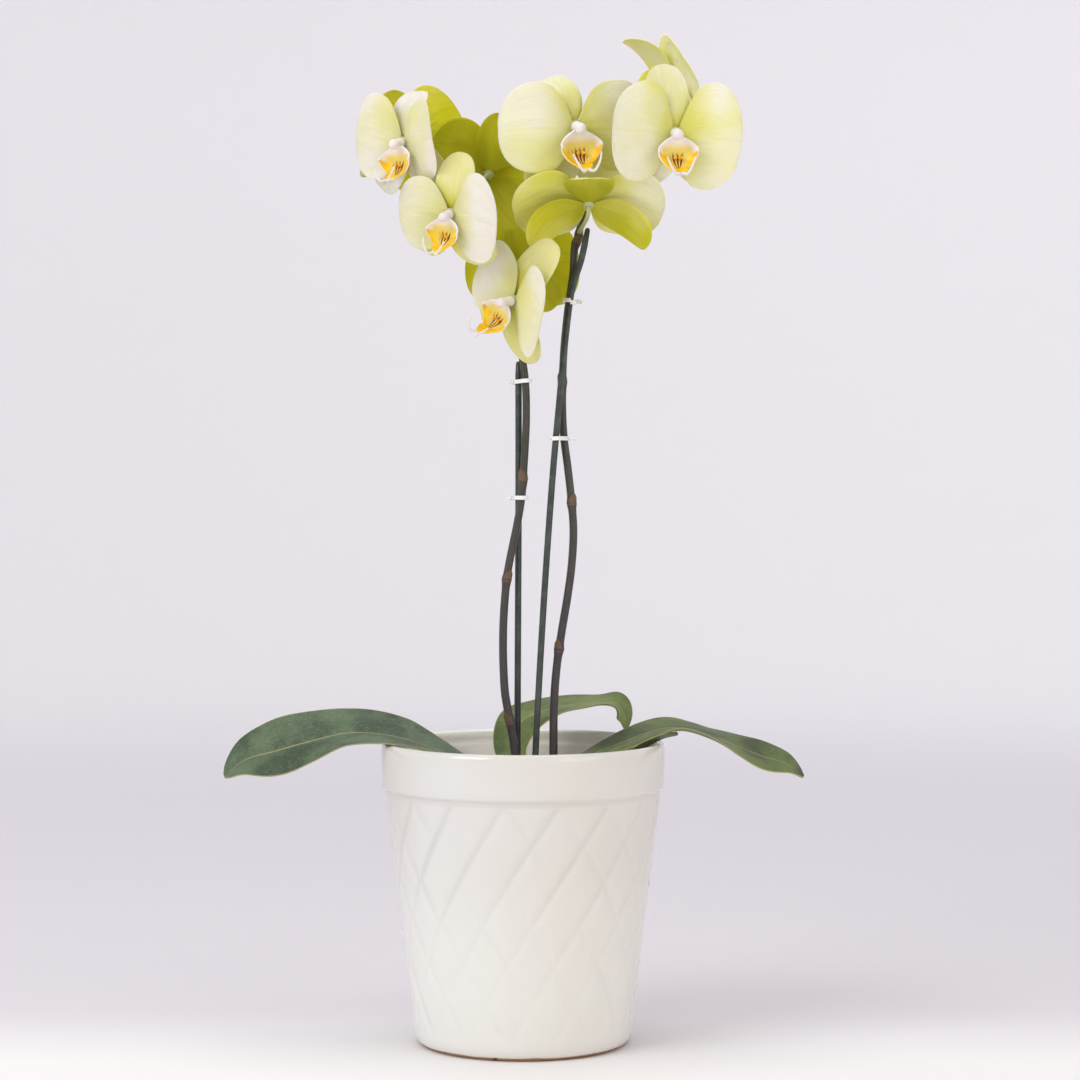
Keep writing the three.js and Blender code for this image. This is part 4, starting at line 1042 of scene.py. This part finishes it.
def tepal_plan(bloom):
    """One row for each petal and sepal: its shape's values, then its finish on the face and the back."""
    face = petal_faces[bloom["stem"]]
    sepal_face = petal_faces[bloom.get("sepals", bloom["stem"])]
    back, upper_back, lower_back = (backs_painted_light_and_shade[kind] for kind in bloom["backs"])
    plan = []
    for angle, reach, wide, curl in zip(bloom["petals"], bloom["reach"], bloom["wide"], bloom["curl"]):
        plan.append((angle, reach, wide, PETAL_FRONT, curl, PETAL_CUP, face, back))
    plan.append((bloom["upper"], bloom["upper_reach"], bloom["upper_wide"], SEPAL_FRONT,
                 bloom["upper_curl"], SEPAL_CUP, sepal_face, upper_back))
    for angle in (bloom["lower"], -bloom["lower"]):
        plan.append((angle, bloom["lower_reach"], LOWER_WIDE, SEPAL_FRONT, bloom["lower_curl"], SEPAL_CUP,
                     sepal_face, lower_back))
    return plan


def make_bloom(number, bloom):
    """A whole bloom. Its phase gives it waves of its own. Turned away, its rims take the backs' tones."""
    parts = []
    phase = 1.7 * number
    rim = 1 if bloom["turns"][0] > 90 else 0
    for *values, face, back in tepal_plan(bloom):
        phase += 1.3
        columns = 14 if values[2] > 20 else 8
        parts.append(make_blade("tepal", lambda u, v: tepal_places(u, v, *values, phase), TEPAL_ROWS,
                                columns, TEPAL_THICKNESS, face, back, rim))
    hub_path = [(0, 0, front) for front in (-4.1, -3.6, -2, 0, 1.6, 2.1)]
    hub = make_rod("hub", hub_path, [1.9, 2.6, 3.4, 4, 4.2, 3.2], stalk.material)
    return to_bloom(join(f"open_bloom_{number}", [*parts, hub]), bloom)


for number, bloom in enumerate(BLOOMS, 1):
    hand_over(make_bloom(number, bloom), f"bloom_{number}")

# %% [markdown]
# ## Lips
# The lip is the third petal, turned into a landing place for insects. Two side lobes stand up like a
# cup round the white column, and a pointed middle lobe ends in two thin tendrils. It is white with
# yellow rims, and red brown stripes lead into the throat. The finish reads the blade's own map, so that
# stripes and rims follow the lobes wherever they bend.

# %% Lip finish
lip = Finish("lip_skin", roughness=0.4, specular=0.4)
_, along, aside, off_middle = lip.on_blade()
off_middle = lip.times(off_middle, 2)
wobble = lip.noise(220, detail=2)
white = lip.blend(lip.noise(70), (252, 248, 246), (236, 227, 232))
yellow = lip.blend(lip.span(wobble, 0.35, 0.65), (254, 216, 24), (248, 188, 4))
throat = lip.times(lip.span(along, 0.08, 0.28), lip.span(off_middle, 0.45, 0.85, 1, 0), 0.9)
colour = lip.blend(throat, white, (232, 208, 58))
rim = lip.times(lip.span(off_middle, 0.26, 0.46), lip.span(along, 0.3, 0.44),
                lip.span(off_middle, 0.9, 0.99, 1, 0.35))
tongue = lip.times(lip.span(along, 0.62, 0.72), lip.span(along, 0.9, 0.98, 1, 0))
colour = lip.blend(lip.calc("MAXIMUM", rim, tongue), colour, yellow)
fan = lip.calc("DIVIDE", aside, lip.calc("SUBTRACT", 0.95, along))
wave = lip.calc("SINE", lip.calc("MULTIPLY_ADD", fan, 50, lip.times(wobble, 4)))
stripes = lip.times(lip.span(wave, -0.35, 0.15), lip.span(lip.calc("ABSOLUTE", fan), 0.17, 0.27, 1, 0),
                    lip.span(along, 0.28, 0.4), lip.span(along, 0.66, 0.74, 1, 0), 0.96)
lip.colour(lip.blend(stripes, colour, (132, 34, 6)))
lip.relief(wobble, 0.2, 0.0005)

cup_back = Finish("lip_outside", roughness=0.4, specular=0.4)
along = cup_back.on_blade()[1]
pale = cup_back.blend(cup_back.noise(80), (250, 247, 242), (232, 224, 230))
tongue = cup_back.times(cup_back.span(along, 0.56, 0.7), cup_back.span(along, 0.86, 0.96, 1, 0))
cup_back.colour(cup_back.blend(tongue, pale, (248, 206, 60)))
cup_back.relief(cup_back.noise(240), 0.2, 0.0005)

column_skin = mottled("column_skin", 90, (242, 237, 230), (224, 214, 218), 0.5, specular=0.35,
                      relief=(350, 0.15, 0.0003))
callus_skin = mottled("callus_skin", 1300, (250, 196, 20), (150, 62, 12), 0.4, detail=1,
                      band=(0.56, 0.62))
print("lip, column and callus finishes made")


# %% Lips
CUP_END, CUP_RADIUS = 0.78, 11.5
LIP_THICKNESS = 1.0


def lip_places(u, v):
    """The lip's surface in its bloom's frame: a round cup, then a tongue that points forward."""
    part = np.minimum(u / CUP_END, 1)
    beyond = np.maximum(u - CUP_END, 0) / (1 - CUP_END)
    down = np.radians(-45 + 135 * part)
    lobes = smooth_step(u, 0, 0.16) * (1 - smooth_step(u, 0.5, 0.8))
    across = np.radians(14 - 9 * beyond + 74 * lobes + 12 * np.exp(-((u - 0.84) / 0.09) ** 2)) * v
    radius = CUP_RADIUS + 0.5 * np.sin(11 * u + 1) * v ** 4 * lobes
    x = radius * np.sin(across)
    y = -9 - radius * np.sin(down) * np.cos(across) - 2 * beyond
    front = 13.2 - 8.3 * np.cos(down) * np.cos(across) + 8 * beyond
    return np.column_stack([x, y, front])


def make_lip(number, bloom):
    parts = [make_blade("lip_blade", lip_places, 40, 28, LIP_THICKNESS, cup_back.material, lip.material)]
    column_path = even_points([(0, 0.2, 2.4), (0, 0.5, 6), (0, 0.1, 10), (0, -1.3, 14.2)], 22)
    column_radii = [2.2, 3, 3.2, 3.15, 3, 2.9, 2.75, 2.65, 2.6, 2.6, 2.6, 2.65, 2.75, 2.85, 3, 3.1, 3.2, 3.2,
                    3, 2.6, 1.9, 0.7]
    parts.append(make_rod("column", column_path, column_radii, column_skin, sides=6))
    for side in (-1, 1):
        knob = even_points([(side * 0.8, -14, 6.8), (side * 1.6, -13.4, 9), (side * 2.3, -13.6, 10.6)], 8)
        parts.append(make_rod("callus", knob, [0.5, 0.9, 1.05, 1.1, 1.05, 0.9, 0.7, 0.25], callus_skin))
        curl = even_points([(side * 0.9, -22.2, 20.4), (side * 3, -22.6, 23.6), (side * 6, -18, 24.6),
                            (side * 8, -13, 22.5)], 20)
        parts.append(make_rod("tendril", curl, np.linspace(0.95, 0.4, 20), column_skin, sides=3))
    return to_bloom(join(f"bloom_lip_{number}", parts), bloom)


for number, bloom in enumerate(BLOOMS, 1):
    hand_over(make_lip(number, bloom), f"lip_{number}")
